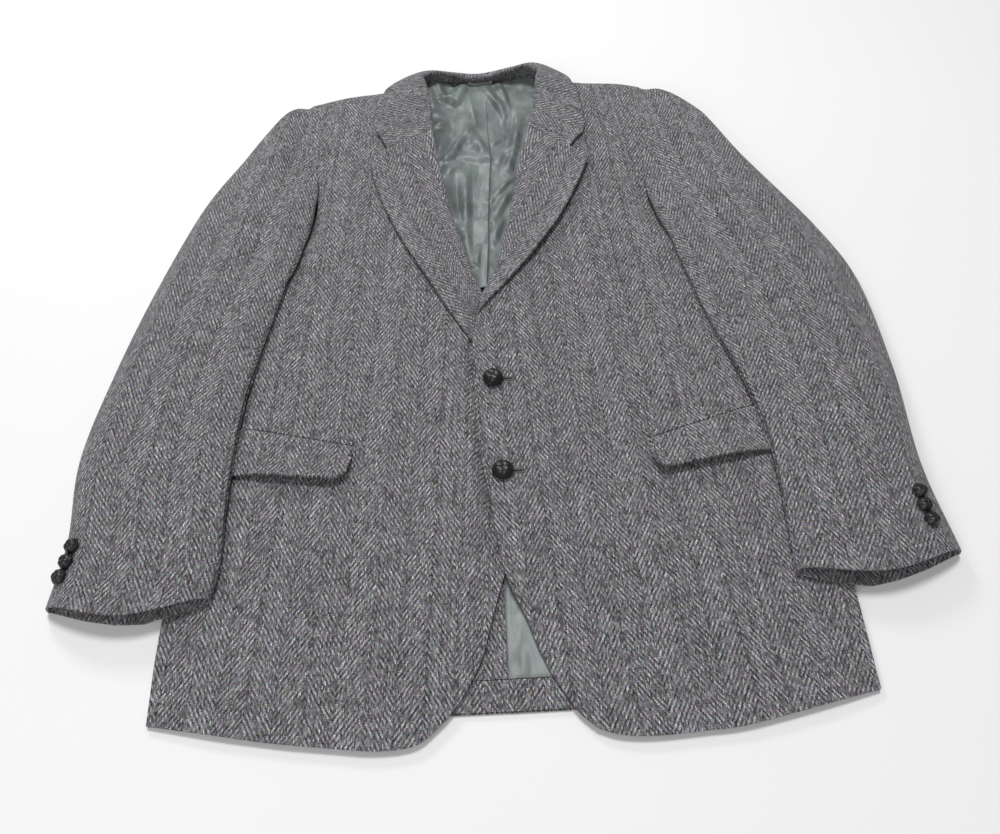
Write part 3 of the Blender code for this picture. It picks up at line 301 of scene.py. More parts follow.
# The armhole seam of the dressed cloth, where the sleeve's cap is sewn to the front with no step.
SLEEVE_SEAM = {  # out, up, from the underarm to the shoulder seam
    RIGHT: mm(
        (287, 556), (265, 562), (236, 572), (210, 590), (202.5, 632), (207.5, 690), (215, 737), (218.5, 775),
        (220, 812),
    ),
    LEFT: mm(
        (284, 548), (262, 551), (232, 561), (203, 576), (188, 612), (189.5, 672), (195.5, 732), (199, 775),
        (200.5, 817.2),
    ),
}
SEWN_FROM = {RIGHT: (0.615, 0.680), LEFT: (0.590, 0.650)}  # up where the step ends
HEAD_LOWERED = 0.0045  # of the sleeve's cap at the shoulder
HEAD_FULLNESS = {RIGHT: 2.6, LEFT: 1.7}  # of its outer corner
LAPEL_STANDS = {RIGHT: 0.0050, LEFT: 0.0075}  # the free edges stand off what they lie on
COLLAR_STANDS = 0.0036
FLAP_STANDS = 0.0088
MOUTH_DEPTH = 0.0022  # a flap's top edge goes this far into the pocket's mouth
MOUTH_WIDTH = 0.0045
JET_PUFF = 0.0006

HOLE_LENGTH = 0.024
HOLE_WIDTH = 0.0036
SLIT_WIDTH = 0.0013
THREAD = 0.00075
BASE_SHARE = 0.90
STRIP_PITCH = 0.47  # the strips' sizes are in shares of the diameter
STRIP_WIDTH = 0.46
STRIP_WALL = 0.040
STRIP_LIFT = 0.050
STRIP_REACH = 0.66
RIM_FLATTENS = 0.75
LAP_STANDS = 0.0030  # the left front's edge stands off the right front, which sinks beside it
LAP_TROUGH = 0.0055

# The lining: it ends above the buttoned front, its top edge sags, and a pleat lies folded to the right side.
LINING_END = mm((-104, 492), (90, 492))  # x, up
LINING_SAG = mm(  # x, how far the top edge hangs down
    (-110, 0), (-60, 0), (-50, 2), (-34, 8), (-20, 4), (-6, 1), (4, 2), (13, 7), (22, 6), (33, 1), (110, 0),
)
PLEAT = mm(  # up, x of the folded edge, height
    (480, -8, 5.2), (518, -6, 5.4), (558, -3.4, 5.4), (609, -1.7, 5.2), (663, 1.4, 4.8), (714, 4.5, 3.6),
    (770, 2.6, 1.8), (813, 2.7, 0.8), (880, 4.7, 0.5),
)
PLEAT_EDGE = 0.0014
PLEAT_SPREAD = 0.016
LINING_FOLDS = mm(  # x, up, end x, end up, half width, height
    (-64, 868, -52, 838, 9.8, 5.8), (-52, 838, -36, 830, 9.8, 6.2), (-36, 830, -22, 866, 9.8, 6.2),
    (-48, 850, -32, 856, 7.7, -2.2), (-76, 866, -64, 812, 10.5, 4.7), (-60, 815, -28, 806, 8.8, -2.8),
    (-68, 784, -44, 798, 7.5, 3.9), (-63, 729, -45, 770, 9.2, 5.3), (-60, 712, -41, 724, 6.9, 4.7),
    (-44, 722, -25, 770, 6.9, 6.6), (-46, 800, -48, 738, 7.7, -2.5), (-19, 776, 4, 712, 8.1, 5.8),
    (-37, 724, 2, 712, 9.2, 4.3), (-26, 745, -10, 735, 10.5, 3.5), (-26, 688, -28, 576, 8.7, 6.6),
    (-14, 700, -15, 610, 7.7, -2.2), (-40, 690, -36, 600, 7.2, -2.2), (-29, 590, -23, 528, 6.9, 5.3),
    (-54, 690, -38, 704, 8.1, 4.3), (-52, 660, -37, 588, 8.7, 4.7), (4, 850, 27, 800, 6.9, 5.7),
    (20, 862, 33, 816, 6.9, 4.7), (14, 830, 20, 770, 7.7, -2.2), (3, 740, 23, 756, 5.8, 4.3),
    (11, 700, 24, 730, 6.9, 4.3), (46, 792, 34, 724, 8.7, 6.6), (36, 733, 25, 684, 7.5, 6.2),
    (2, 636, 39, 686, 6.9, 6.6), (3, 600, 31, 660, 7.5, 6.6), (1, 562, 14, 600, 6.9, 5.7),
    (36, 836, 31, 740, 8.3, -3.1), (-14, 556, -18, 526, 5.2, 3.2),
)
LINING_CREASES = mm(  # sharper ones
    (-20, 596, -7, 604, 3, 0.6), (-18, 836, -11, 788, 4, 1), (8, 728, 20, 742, 2.6, 0.8),
    (-58, 700, -46, 716, 2.6, 0.8), (24, 690, 34, 720, 2.6, 0.8),
)
LINING_WAVES = (  # wavelength, direction (degrees), phase, height
    (0.046, 15, 0.7, 0.0005), (0.034, 128, 2.6, 0.00036), (0.024, 72, 4.4, 0.00018),
)
UPHILL = (-0.4, 0.9)  # a lopsided fold is gentler on this side of its crest
LINING_HOLLOW = 0.0011  # the deepest that a hollow may be, above the back
TOP_STANDS = 0.0085  # the lining's top edge stands off the back, against the collar's stand
TOP_SINKS = 0.0006  # less where it hangs down
HANGER = (-0.0195, 0.0135)  # x of the ends of the hanger loop
HANGER_WIDTH = 0.0062
HANGER_WALL = 0.0009
HANGER_SAG = 0.0012
HANGER_EDGE = 0.0002

# Points of the pieces across and along, and how much closer they stand towards the ends.
FRONT_ACROSS, FRONT_ALONG = (76, 0.75), (140, 0.8)
BACK_ACROSS, BACK_ALONG = (40, 0.3), (90, 0.9)
LAPEL_ACROSS, LAPEL_FINE, LAPEL_FOLD_POINTS = (22, 0.5), 8, 11
COLLAR_FINE, FALL_POINTS, CREST_POINTS = 7, 17, 8
FALL_MIDDLE = 9
STAND_SHARES = (0.25, 0.5, 0.75, 1)
SLEEVE_POINTS, SLEEVE_ALONG, HEAD_POINTS = 61, (150, 0.8), 13
UNDERSLEEVE_FINER = (4, 5)
FLAP_DOWN, FLAP_POINTS, FLAP_CORNER_POINTS = (22, 0.4), 36, 9
JET_POINTS, JET_ROWS = 40, 7
LINING_POINTS, LINING_ROWS = 181, 161
HANGER_POINTS, SLIT_POINTS, HOLE_TURN_POINTS, THREAD_POINTS = 25, 25, 9, 8

# Smaller measures, in the order in which they are used.
FOLD_TAPER = (0.15, 0.85)  # a fold's ends keep the height that a sine wave has here
EDGE_ROUND = 0.0007  # of a cut or folded edge of cloth
SHARP_EDGE = 50  # degrees
TO_MILLIMETRES = 1000
SEARCH_HEIGHT = 0.03  # from here a piece finds the nearest part of what lies beside it
CALM_FROM = 0.01  # a front's edge has no creases up to this width
LAPPED_UP = (0.12, 0.17, 0.44, 0.50)  # up where the lap starts, is whole, dies away and ends
LAP_EDGE = 0.014  # width of the raised edge of the lap
LAP_BESIDE = 0.007  # width of the trough beside it
BACK_WAIST_UP = 0.45  # a point of the centre back seam
BACK_HEM_BEND = (0.15, 0.001)  # out, up from the hem's middle
BACK_TOP_ROUND = 0.028
LAPEL_TURN = (140, 0.3, 0.7)  # degrees round the front's edge, share where unwrapped, share added by the wrap
COLLAR_SHOWN_FROM = 0.06  # share of the way from the crest to the free edge
COLLAR_FALL = 1.3  # exponent of the fall that lies on the fronts
COLLAR_ON_FRONTS_UP = 0.83
STAND_SINKS = 0.001  # the stand's foot below the neck edge
FLAP_FADE = (0.4, 0.9)  # the room for a flap dies away over these shares of a row
UNDERARM_UP = (0.40, 0.45, 0.46, 0.49)  # up: the room grows, then reaches the row's inner end
UNDERARM_FROM = 0.25  # share of a row
CUFF_ROWS = 11
ARMHOLE_ROWS = (0, 0.17, 0.34, 0.50, 0.66, 0.80)  # shares of the seam
HEAD_ROWS = (0.020, 0.013, 0.007, 0.0025, 0)  # below the shoulder
SEAM_START = 4  # row of the armhole from which the sleeve's cap follows it
SEAM_BELOW = 0.001
HEAD_START = 0.99  # share of the seam where the head's height is read
SMOOTHED = 3  # rows to either side over which the fold's height is averaged
FOLD_ASIDE = 0.0015  # the topsleeve's fold feels for what lies this far beside it
SEAM_ASIDE = 0.0006
GENTLE = 1.25  # exponent of a section that leaves a seam with no step
HEAD_UP = (0.750, 0.795)  # up over which the section turns into the head's
LOWERED_UP = (0.700, 0.800)
SLEEVE_WAVES = 1.5  # times those of the body
FLAP_HELD = (0.66, 0.6, 0.9)  # share taken off the free edge, over these shares of a flap's length
SEAM_CLEAR = 0.0008  # the lining bridges the centre back seam
LINING_GATHERED = (0.35, 0.65)  # columns stand closer in the middle
SAG_FADE = 8  # exponent: the sag is all near the top
LINING_LEAN = 0.6  # of the lopsided folds
LINING_SHARP = 1.5  # of the sharper creases
STANDS_FROM = (0.76, 0.985)  # shares of the lining's length
SUNK_FROM = 0.008  # how far the edge hangs down where it stands off least
HANGER_FOOT = (0.0030, 0.0040)  # up the stand, out from it
HANGER_LEAN = 0.0024
STRIP_ROUND = 0.8  # exponent of a strip's rounded section
RIM = (0.26, 0.50)  # shares of the diameter over which the strips flatten
BUTTON_ROUND = 32
STRIP_RINGS, STRIP_POINTS = 33, 24
HOLE_BEFORE = 0.12  # share of a hole that lies before the button's middle
STITCHES = 74
STITCH_RINGS = 3  # of points for each stitch, the middle one thicker
BETWEEN_STITCHES = 0.72  # thickness of the thread
STITCH_WIDE, STITCH_HIGH, STITCH_SUNK = 1.25, 0.75, 0.0002  # times the thread's radius, and metres
SLIT_ENDS = (0.08, 0.84)  # shares of a half wave that the slit's width follows: its start, and its length
SLIT_FACES = (0.0003, -0.0004)  # above and below the front's face


def length_of(legs):
    """Lengths of vectors."""
    return np.linalg.norm(legs, axis=-1)


def directions(line):
    """Unit vectors along a line."""
    ahead = np.gradient(line, axis=0)
    return ahead / length_of(ahead)[:, None]


def run_along(grid, axis):
    """Length from the first row or column, or along a line, to each point."""
    legs = length_of(np.diff(grid, axis=axis))
    first = np.zeros_like(np.take(legs, [0], axis))
    return np.concatenate([first, np.cumsum(legs, axis)], axis)


def steps(rows, at):
    """Heights read from a table of (position, height), smooth and with no overshoot between its rows."""
    place, value = np.array(rows).T
    gap = np.diff(place)
    grade = np.diff(value) / gap
    product = np.maximum(grade[1:] * grade[:-1], 0)
    inner = 2 * product / np.where(product > 0, grade[1:] + grade[:-1], 1)
    slope = np.concatenate([grade[:1], inner, grade[-1:]])
    i = np.clip(np.searchsorted(place, at) - 1, 0, len(gap) - 1)
    t = np.clip((at - place[i]) / gap[i], 0, 1)
    keep = 2 * t**3 - 3 * t**2 + 1
    bend = slope[i] * (t**3 - 2 * t**2 + t) + slope[i + 1] * (t**3 - t**2)
    return keep * value[i] + (1 - keep) * value[i + 1] + gap[i] * bend


def curve(rows, fine=24):
    """A smooth curve through the rows, as an array of points."""
    p = np.array(rows, float)
    p = np.vstack([2 * p[0] - p[1], p, 2 * p[-1] - p[-2]])
    t = np.linspace(0, 1, fine, endpoint=False)[:, None]
    spans = [
        b + 0.5 * ((c - a) * t + (2 * a - 5 * b + 4 * c - d) * t**2 + (3 * b - 3 * c + d - a) * t**3)
        for a, b, c, d in zip(p, p[1:], p[2:], p[3:])
    ]
    return np.vstack(spans + [p[-2:-1]])


def at_share(line, shares):
    """Points at shares of the length of a line."""
    run = run_along(line, 0)
    return np.stack([np.interp(np.asarray(shares) * run[-1], run, column) for column in line.T], axis=-1)


def moved_in(line, distance, side):
    """A line that runs up one side, moved towards the centre line at right angles to itself."""
    ahead = directions(line)
    return line + side * distance * np.stack([-ahead[:, 1], ahead[:, 0]], axis=-1)


def patch(inner, outer, low, high, across, along):
    """Plan points of a panel between four edges: one row for each share along, from low to high."""
    u = np.asarray(across)[None, :, None]
    v = np.asarray(along)[:, None, None]
    sides = (1 - u) * at_share(inner, along)[:, None] + u * at_share(outer, along)[:, None]
    ends = (1 - v) * at_share(low, across)[None] + v * at_share(high, across)[None]
    corners = (1 - u) * ((1 - v) * inner[0] + v * inner[-1]) + u * ((1 - v) * outer[0] + v * outer[-1])
    return sides + ends - corners


def to_side(side, rows):
    """Rows of (out, up) as plan points on one side."""
    return [(side * out, up) for out, up in rows]


def side_curve(side, table, fine=24):
    """The curve of one side's rows of (out, up)."""
    return curve(to_side(side, table[side]), fine)


def easing(at, start, end):
    """0 before start, 1 after end, smooth between."""
    t = np.clip((at - start) / (end - start), 0, 1)
    return t * t * (3 - 2 * t)


def risen(at, start, full, fall, end):
    """0 before start, 1 between full and fall, 0 again after end."""
    return easing(at, start, full) * (1 - easing(at, fall, end))


def quarter_wave(share):
    """0 at 0 and 1 from 1 on, as the first quarter of a sine wave."""
    return np.sin(math.pi / 2 * np.clip(share, 0, 1))


def rounded_drop(distance, width):
    """0 at this width from an edge, 1 at the edge, falling as a quarter circle."""
    t = np.clip(1 - distance / width, 0, 1)
    return 1 - np.sqrt(1 - t**2)


def fullness(share, power):
    """A rounded section, 0 at both ends and 1 in the middle, fuller for a higher power."""
    return (1 - np.abs(2 * share - 1) ** power) ** (1 / power)


def sewn_section(share, outer_half):
    """A section that leaves its seam with no step."""
    return np.where(share < 0.5, np.sin(math.pi * np.minimum(share, 0.5)) ** GENTLE, outer_half)


def distance_to(line, plan):
    """Distance from each plan point to a line, and the line's nearest point."""
    gaps = length_of(plan[..., None, :] - line)
    return gaps.min(axis=-1), line[gaps.argmin(axis=-1)]


def soft_folds(side, folds, plan, sharp=1, lopsided=None):
    """Height of the folds at each plan point: soft ones, or crests when sharp is above 1."""
    height = 0
    for out, up, end_out, end_up, half_width, most in folds:
        start = np.array((side * out, up))
        along = np.array((side * end_out, end_up)) - start
        share = np.clip((plan - start) @ along / (along @ along), 0, 1)
        off = plan - start - share[..., None] * along
        gap = length_of(off)
        if lopsided:
            gap = np.where(off @ np.array(UPHILL) > 0, gap * lopsided, gap)
        crest = np.clip(1 - gap / half_width, 0, 1) ** sharp
        profile = crest if sharp > 1 else easing(gap, half_width, 0)
        height = height + most * np.sin(math.pi * np.clip(share, *FOLD_TAPER)) * profile
    return height


def waves(plan, rows):
    """The slight unevenness of cloth that lies on a surface."""
    height = 0
    for length, direction, phase, most in rows:
        turn = math.radians(direction)
        run = plan @ np.array((math.cos(turn), math.sin(turn)))
        height = height + most * np.sin(2 * math.pi * run / length + phase)
    return height


def spread(count, ends=0.75):
    """Shares from 0 to 1, closer together towards both ends."""
    t = np.linspace(0, 1, count)
    return t - ends * np.sin(2 * math.pi * t) / (2 * math.pi)


def finer(grid, along, across):
    """More rows and columns between those of a coarse grid."""
    for axis, fine in ((0, along), (1, across)):
        at = np.linspace(0, grid.shape[axis] - 1, (grid.shape[axis] - 1) * fine + 1)
        low = np.minimum(at.astype(int), grid.shape[axis] - 2)
        part = (at - low).reshape((-1, 1, 1) if axis == 0 else (1, -1, 1))
        grid = np.take(grid, low, axis) * (1 - part) + np.take(grid, low + 1, axis) * part
    return grid


def plan_grain(side, plan):
    """Grain of a body panel: across and along the warp, from the peak that GRAIN gives."""
    x, up, lean = GRAIN[side]
    turn = math.radians(lean)
    return (plan[..., :2] - (x, up)) @ np.array(
        ((math.cos(turn), math.sin(turn)), (-math.sin(turn), math.cos(turn)))
    )


def edge_grain(grid):
    """Grain of a piece whose warp runs along its first column."""
    across = run_along(grid, 1)
    along = np.broadcast_to(run_along(grid, 0)[:, :1], across.shape)
    return np.stack([across, along], axis=-1)


def sleeve_grain(grid):
    """Grain of a sleeve: the warp runs along its middle line."""
    middle = grid.shape[1] // 2
    spine = grid[:, middle, :2]
    drift = ((grid[..., :2] - spine[:, None]) * directions(spine)[:, None]).sum(axis=-1)
    along = run_along(grid, 0)[:, middle : middle + 1] + drift
    square = np.sqrt(np.maximum(length_of(np.diff(grid, axis=1)) ** 2 - np.diff(drift, axis=1) ** 2, 0))
    across = np.concatenate([np.zeros((len(grid), 1)), np.cumsum(square, 1)], 1)
    return np.stack([across - across[:, middle : middle + 1], along], axis=-1)


def quads(lines, columns):
    """Corner numbers of the faces between the points of a grid."""
    k = (np.arange(lines - 1)[:, None] * columns + np.arange(columns - 1)).reshape(-1)
    return np.stack([k, k + 1, k + columns + 1, k + columns], axis=1)


def settle(mesh, finish, slot, *nodes, at=(0, 0, 0), turned=(0, 0, 0)):
    """Puts a piece on the jacket, with its finish, in place of the solids that it stands for."""
    mesh.shade_smooth()
    made = bpy.data.objects.new(mesh.name, mesh)
    made.location = at
    made.rotation_euler = turned
    bpy.context.scene.collection.objects.link(made)
    mesh.materials.append(FINISHES[finish])
    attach(made, "root")
    if nodes:
        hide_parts(*nodes)
    return made


def cloth(name, grid, wall, finish, grain, slot, *nodes, grow_down=True, edge=EDGE_ROUND):
    """A thin shell of cloth whose shown face passes through the rows of points."""
    corners = grid.reshape(-1, 3) - (*OUTLINE_MIDDLE, 0)
    faces = quads(*grid.shape[:2])
    a, b, d = corners[faces[0][[0, 1, 3]]]
    if np.cross(b - a, d - a)[2] < 0:
        faces = faces[:, ::-1]
    mesh = bpy.data.meshes.new(name)
    mesh.from_pydata(corners.tolist(), [], faces.tolist())
    layer = mesh.uv_layers.new(name="grain")
    layer.data.foreach_set("uv", (grain.reshape(-1, 2)[faces.reshape(-1)] * TO_MILLIMETRES).reshape(-1))
    made = settle(mesh, finish, slot, *nodes)
    solidify = made.modifiers.new("wall", "SOLIDIFY")
    solidify.thickness = wall
    solidify.offset = -1 if grow_down else 1
    rounded = made.modifiers.new("rounded_edge", "BEVEL")
    rounded.width = edge
    rounded.segments = 2
    rounded.limit_method = "ANGLE"
    rounded.angle_limit = math.radians(SHARP_EDGE)
    return made


def tubes(name, shapes, finish, slot, *nodes, closed=False, **place):
    """A piece made of tubes, given as rings of points. A closed tube's last ring joins its first."""
    points, faces = [], []
    for rings in shapes:
        lines, count, _ = np.shape(rings)
        start = len(points)
        points += np.reshape(rings, (-1, 3)).tolist()
        for r in range(lines if closed else lines - 1):
            here, there = start + r * count, start + (r + 1) % lines * count
            for c in range(count):
                after = (c + 1) % count
                faces.append((here + c, here + after, there + after, there + c))
        if not closed:
            faces.append(tuple(range(start + count - 1, start - 1, -1)))
            faces.append(tuple(range(len(points) - count, len(points))))
    mesh = bpy.data.meshes.new(name)
    mesh.from_pydata(points, [], faces)
    shape = bmesh.new()
    shape.from_mesh(mesh)
    bmesh.ops.recalc_face_normals(shape, faces=shape.faces)
    shape.to_mesh(mesh)
    shape.free()
    settle(mesh, finish, slot, *nodes, **place)


def surface(*grids):
    """The shown faces of panels, for laying other pieces on them."""
    points, faces = [], []
    for grid in grids:
        for a, b, c, d in (quads(*grid.shape[:2]) + len(points)).tolist():
            faces += [(a, b, c), (a, c, d)]
        points += grid.reshape(-1, 3).tolist()
    return BVHTree.FromPolygons(points, faces)


def height_on(panels, x, up, otherwise=None):
    """Height of the panels' shown face at a plan point, or of its nearest point beside them."""
    hit = panels.ray_cast(Vector((x, up, 1)), Vector((0, 0, -1)))[0]
    if hit is not None:
        return hit.z
    if otherwise is not None:
        return otherwise
    return panels.find_nearest(Vector((x, up, SEARCH_HEIGHT)))[0].z


def front_grid(side):
    """The outer face of one front."""
    body_side = side_curve(side, SIDE, fine=48)
    armhole = side_curve(side, SLEEVE_SEAM, fine=32)
    shoulder = curve(to_side(side, SHOULDER_SEAM) + [armhole[-1]])
    outer = np.vstack([body_side, armhole[1:]])
    edge_line = curve(FRONT_EDGE[side])
    across, along = spread(*FRONT_ACROSS), spread(*FRONT_ALONG)
    plan = patch(edge_line, outer, curve(FRONT_HEM[side]), shoulder, across, along)
    x, up = plan[..., 0], plan[..., 1]
    by_side = quarter_wave(distance_to(body_side, plan)[0] / SIDE_ROUND)
    z = SIDE_HEIGHT + (steps(CHEST, up) - SIDE_HEIGHT) * by_side
    from_armhole, nearest = distance_to(armhole, plan)
    by_armhole = quarter_wave(from_armhole / ARMHOLE_ROUND)
    z -= soft_folds(side, FRONT_FOLDS[side], plan) * by_armhole
    from_edge = distance_to(edge_line, plan)[0]
    calm = easing(from_edge, CALM_FROM, CALM) * by_side
    z += (soft_folds(side, FRONT_CREASES[side], plan) + waves(plan, WAVES)) * calm
    edge = np.minimum(z, steps(ARMHOLE_HEIGHT, nearest[..., 1]))
    z = edge + (z - edge) * by_armhole
    z -= SHOULDER_DROP * rounded_drop(length_of(plan - plan[-1:]), SHOULDER_ROUND)
    lapped = risen(up, *LAPPED_UP)
    if side == LEFT:
        z += steps(LAP_RISE, up) * (1 - easing(x, LAP_FLAT, LAP_END))
        z += LAP_STANDS * lapped * (1 - easing(from_edge, 0, LAP_EDGE)) ** 2
    else:
        beside_lap = distance_to(curve(FRONT_EDGE[LEFT]), plan)[0]
        z -= LAP_TROUGH * lapped * (1 - easing(beside_lap, 0, LAP_BESIDE))
    return np.dstack([plan, z])


def neck_edge(side, row, room):
    """A plan point this far outside the foot of the collar's stand, at one of its stations."""
    outward = np.array((side * (row[5] - row[0]), row[6] - row[1]))
    return np.array((side * row[0], row[1])) + room * outward / length_of(outward)


def back_grid(side):
    """The outer face of one back, which rests on the surface and rises to the neck and shoulder."""
    armhole = side_curve(side, ARMHOLE)
    outer = np.vstack([side_curve(side, SIDE), armhole[1:]])
    middle = CENTRE_BACK + side * SEAM / 2
    inner = curve(((middle, BACK_HEM_UP), (middle, BACK_WAIST_UP), (middle, COLLAR_BACK[1])))
    bend_out, bend_up = BACK_HEM_BEND
    hem_corner = to_side(side, SIDE[side][:1])
    hem = curve([(middle, BACK_HEM_UP), (side * bend_out, BACK_HEM_UP + bend_up), *hem_corner])
    neck = [(*neck_edge(side, row, NECK_ROOM), row[2]) for row in COLLAR[side][COLLAR_BEHIND:][::-1]]
    seam_z = CHEST[-1][1] - SHOULDER_DROP - SHOULDER_JOIN
    shoulder = [(side * out, up + CLEAR, seam_z) for out, up in SHOULDER_SEAM[1:]]
    top = curve([(middle, *COLLAR_BACK[1:3]), *neck, *shoulder, (*armhole[-1], seam_z)])
    across = spread(*BACK_ACROSS)
    plan = patch(inner, outer, hem, top[:, :2], across, spread(*BACK_ALONG))
    rise = rounded_drop(length_of(plan - plan[-1:]), BACK_TOP_ROUND)
    return np.dstack([plan, rise * at_share(top, across)[None, :, 2]])


def round_fold(start, inward, core, turns):
    """Points round a fold: over from its start, inward and down."""
    ahead = inward * FOLD_RADIUS
    return [(*(start + ahead * math.sin(turn)), core + FOLD_RADIUS * math.cos(turn)) for turn in turns]


def lapel_rows(side, front):
    """A lapel's shown face: over the front from its free edge, round the fold and under it."""
    rows = []
    most_turn, plain_share, wrapped_share = LAPEL_TURN
    for *ends, wrap in curve(LAPEL[side], LAPEL_FINE):
        wrap = min(wrap, 1)
        edge, fold = np.reshape(ends, (2, 2))
        inward = (fold - edge) / length_of(fold - edge)
        row = []
        for share in spread(*LAPEL_ACROSS)[:-1]:
            x, up = edge + share * (fold - edge)
            lift = CLEAR + FACED_TWEED + LAPEL_STANDS[side] * wrap * (1 - share) ** 3
            lift += LAPEL_PUFF * wrap * math.sin(math.pi * share)
            row.append((x, up, height_on(front, x, up) + lift))
        core = height_on(front, *fold) - TWEED / 2
        turned = math.radians(most_turn) * (plain_share + wrapped_share * wrap)
        rows.append(row + round_fold(fold, inward, core, np.linspace(0, turned, LAPEL_FOLD_POINTS)))
    return np.array(rows)


def collar_rows(fronts):
    """The collar's shown face, from the right lapel round the neck to the left lapel."""
    stations = [(RIGHT, row) for row in COLLAR[RIGHT]]
    stations.append((LEFT, COLLAR_BACK))
    stations += [(LEFT, row) for row in COLLAR[LEFT][::-1]]
    placed = []
    for side, (out, up, neck_z, rise, lean, edge_out, edge_up, edge_z, round_back) in stations:
        shift = 0 if out else CENTRE_BACK
        neck = (side * out + shift, up)
        edge = (side * edge_out + shift, edge_up)
        neck_z = neck_z or height_on(fronts, *neck) - TWEED / 2
        edge_z = edge_z or height_on(fronts, *edge) + CLEAR + FACED_TWEED + COLLAR_STANDS
        placed.append((*neck, neck_z, rise, lean, *edge, edge_z, round_back))
    rows = []
    for x, up, neck_z, rise, lean, edge_x, edge_up, edge_z, round_back in curve(placed, COLLAR_FINE):
        neck, edge = np.array((x, up)), np.array((edge_x, edge_up))
        inward = (neck - edge) / length_of(neck - edge)
        round_back = min(max(round_back, 0), 1)
        crest = neck + inward * lean
        crest_z = neck_z + rise
        row = []
        for share in np.linspace(1, COLLAR_SHOWN_FROM, FALL_POINTS):
            x, at_up = crest + share * (edge - crest)
            drop = (1 - round_back) * share**COLLAR_FALL + round_back * (1 - math.sqrt(1 - share**2))
            z = crest_z - (crest_z - edge_z) * drop
            floor_z = height_on(fronts, x, at_up, otherwise=0) + CLEAR + FACED_TWEED
            row.append((x, at_up, max(z, floor_z) if edge_up < COLLAR_ON_FRONTS_UP else z))
        row += round_fold(crest, inward, crest_z - FOLD_RADIUS, np.linspace(0, math.pi / 2, CREST_POINTS))
        foot = (*(neck + inward * FOLD_RADIUS), neck_z - STAND_SINKS)
        shoulder = np.array(row[-1])
        row += [tuple(shoulder + share * (foot - shoulder)) for share in STAND_SHARES]
        rows.append(row)
    return np.array(rows)


def sleeve_edges(side):
    """Inner and outer folded edges of a sleeve in plan, and the short edge at the sleeve head."""
    seam = side_curve(side, SLEEVE_SEAM) + (side * SEAM, 0)
    upper = seam[seam[:, 1] > SLEEVE_SEAM[side][SEAM_START][1]]
    inner = np.vstack([curve(to_side(side, SLEEVE_INNER[side]) + [upper[0]]), upper[1:]])
    outer = side_curve(side, SLEEVE_OUTER)
    head = curve([inner[-1], 0.5 * (inner[-1] + outer[-1]) + (0, HEAD_BOW), outer[-1]])
    return inner, outer, head


def over_the_side(body_side, front, edge, far):
    """A row of the undersleeve that lies on the front, then steps down over the body's side."""
    up = edge[1]
    beside = np.array((np.interp(up, body_side[:, 1], body_side[:, 0]), up))
    over_flap = FLAP_ROOM * risen(up, *FLAP_ROOM_UP)
    start, full, then, end = UNDERARM_UP
    underarm = UNDERARM_ROOM * easing(up, start, full)
    row = []
    for part in LYING:
        x, at_up = edge + part * (beside - edge)
        room = over_flap * (1 - easing(part, *FLAP_FADE))
        room += underarm * max(easing(part, 0, UNDERARM_FROM), easing(up, then, end))
        row.append((x, at_up, max(height_on(front, x, at_up, otherwise=0), SIDE_HEIGHT) + CLEAR + room))
    for part in FREE:
        row.append((*(beside + part * (far - beside)), 0 if part else SIDE_HEIGHT + CLEAR))
    return row


def beside_the_body(edge, far, middle_share, edge_z=0):
    """A row of the undersleeve that lies on the surface beside the armhole."""
    middle = edge + middle_share * (far - edge)
    row = [(*(edge + part * (middle - edge)), edge_z * (1 - part)) for part in LYING]
    return row + [(*(middle + part * (far - middle)), 0) for part in FREE]


def undersleeve_grid(side, front, back, head_z):
    """The undersleeve's lower face: on the front inside the side edge, and on the surface outside it."""
    outer = moved_in(sleeve_edges(side)[1], UNDERSLEEVE_INSET, side)
    fold = side_curve(side, SLEEVE_INNER)
    body_side = side_curve(side, SIDE) + (side * SIDE_MARGIN, 0)
    armhole = back[back[:, -1, 1] > SIDE[side][-1][1], -1, :2] + (side * UNDER_SEAM, 0)
    on_front = np.array(to_side(side, NOTCH_ON_FRONT[side]))
    cuff_up = fold[0, 1]
    length = armhole[-1, 1] - cuff_up
    low = np.linspace(cuff_up, on_front[0, 1] - BELOW_NOTCH, CUFF_ROWS)
    rows = []
    for edge in [np.array((np.interp(up, fold[:, 1], fold[:, 0]), up)) for up in low] + list(on_front):
        rows.append(over_the_side(body_side, front, edge, at_share(outer, (edge[1] - cuff_up) / length)))
    for number, (out, up, middle_share) in enumerate(NOTCH_BESIDE[side], len(on_front)):
        far = at_share(outer, (up - cuff_up) / length + NOTCH_REACH * number)
        edge_z = SIDE_HEIGHT + CLEAR if number == len(on_front) else 0
        rows.append(beside_the_body(np.array((side * out, up)), far, middle_share, edge_z))
    seam = armhole[armhole[:, 1] > ARMHOLE[side][SEAM_START][1] - SEAM_BELOW]
    seam_length = seam[-1, 1] - seam[0, 1]
    for share in (*ARMHOLE_ROWS, *(1 - gap / seam_length for gap in HEAD_ROWS)):
        edge = at_share(seam, share)
        reach = 1 - (armhole[-1, 1] - edge[1]) / length * OVER_NOTCH
        rows.append(beside_the_body(edge, at_share(outer, reach), ARMHOLE_SHARE))
    grid = np.array(rows)
    across_cuff = (grid[0, :, 0] - grid[0, 0, 0]) / (grid[0, -1, 0] - grid[0, 0, 0])
    bow = UNDER_CUFF_BOW * np.sin(math.pi * across_cuff)
    grid[0, :, 1] -= bow
    grid[1, :, 1] -= bow / 2
    along_head = length_of(grid[-1, :, :2] - grid[-1, 0, :2])
    top = np.interp(along_head / along_head[-1], np.linspace(0, 1, len(head_z)), np.maximum(head_z, 0))
    grid[..., 2] += rounded_drop(length_of(grid[..., :2] - grid[-1:, :, :2]), HEAD_RISE) * top
    return finer(grid, *UNDERSLEEVE_FINER)


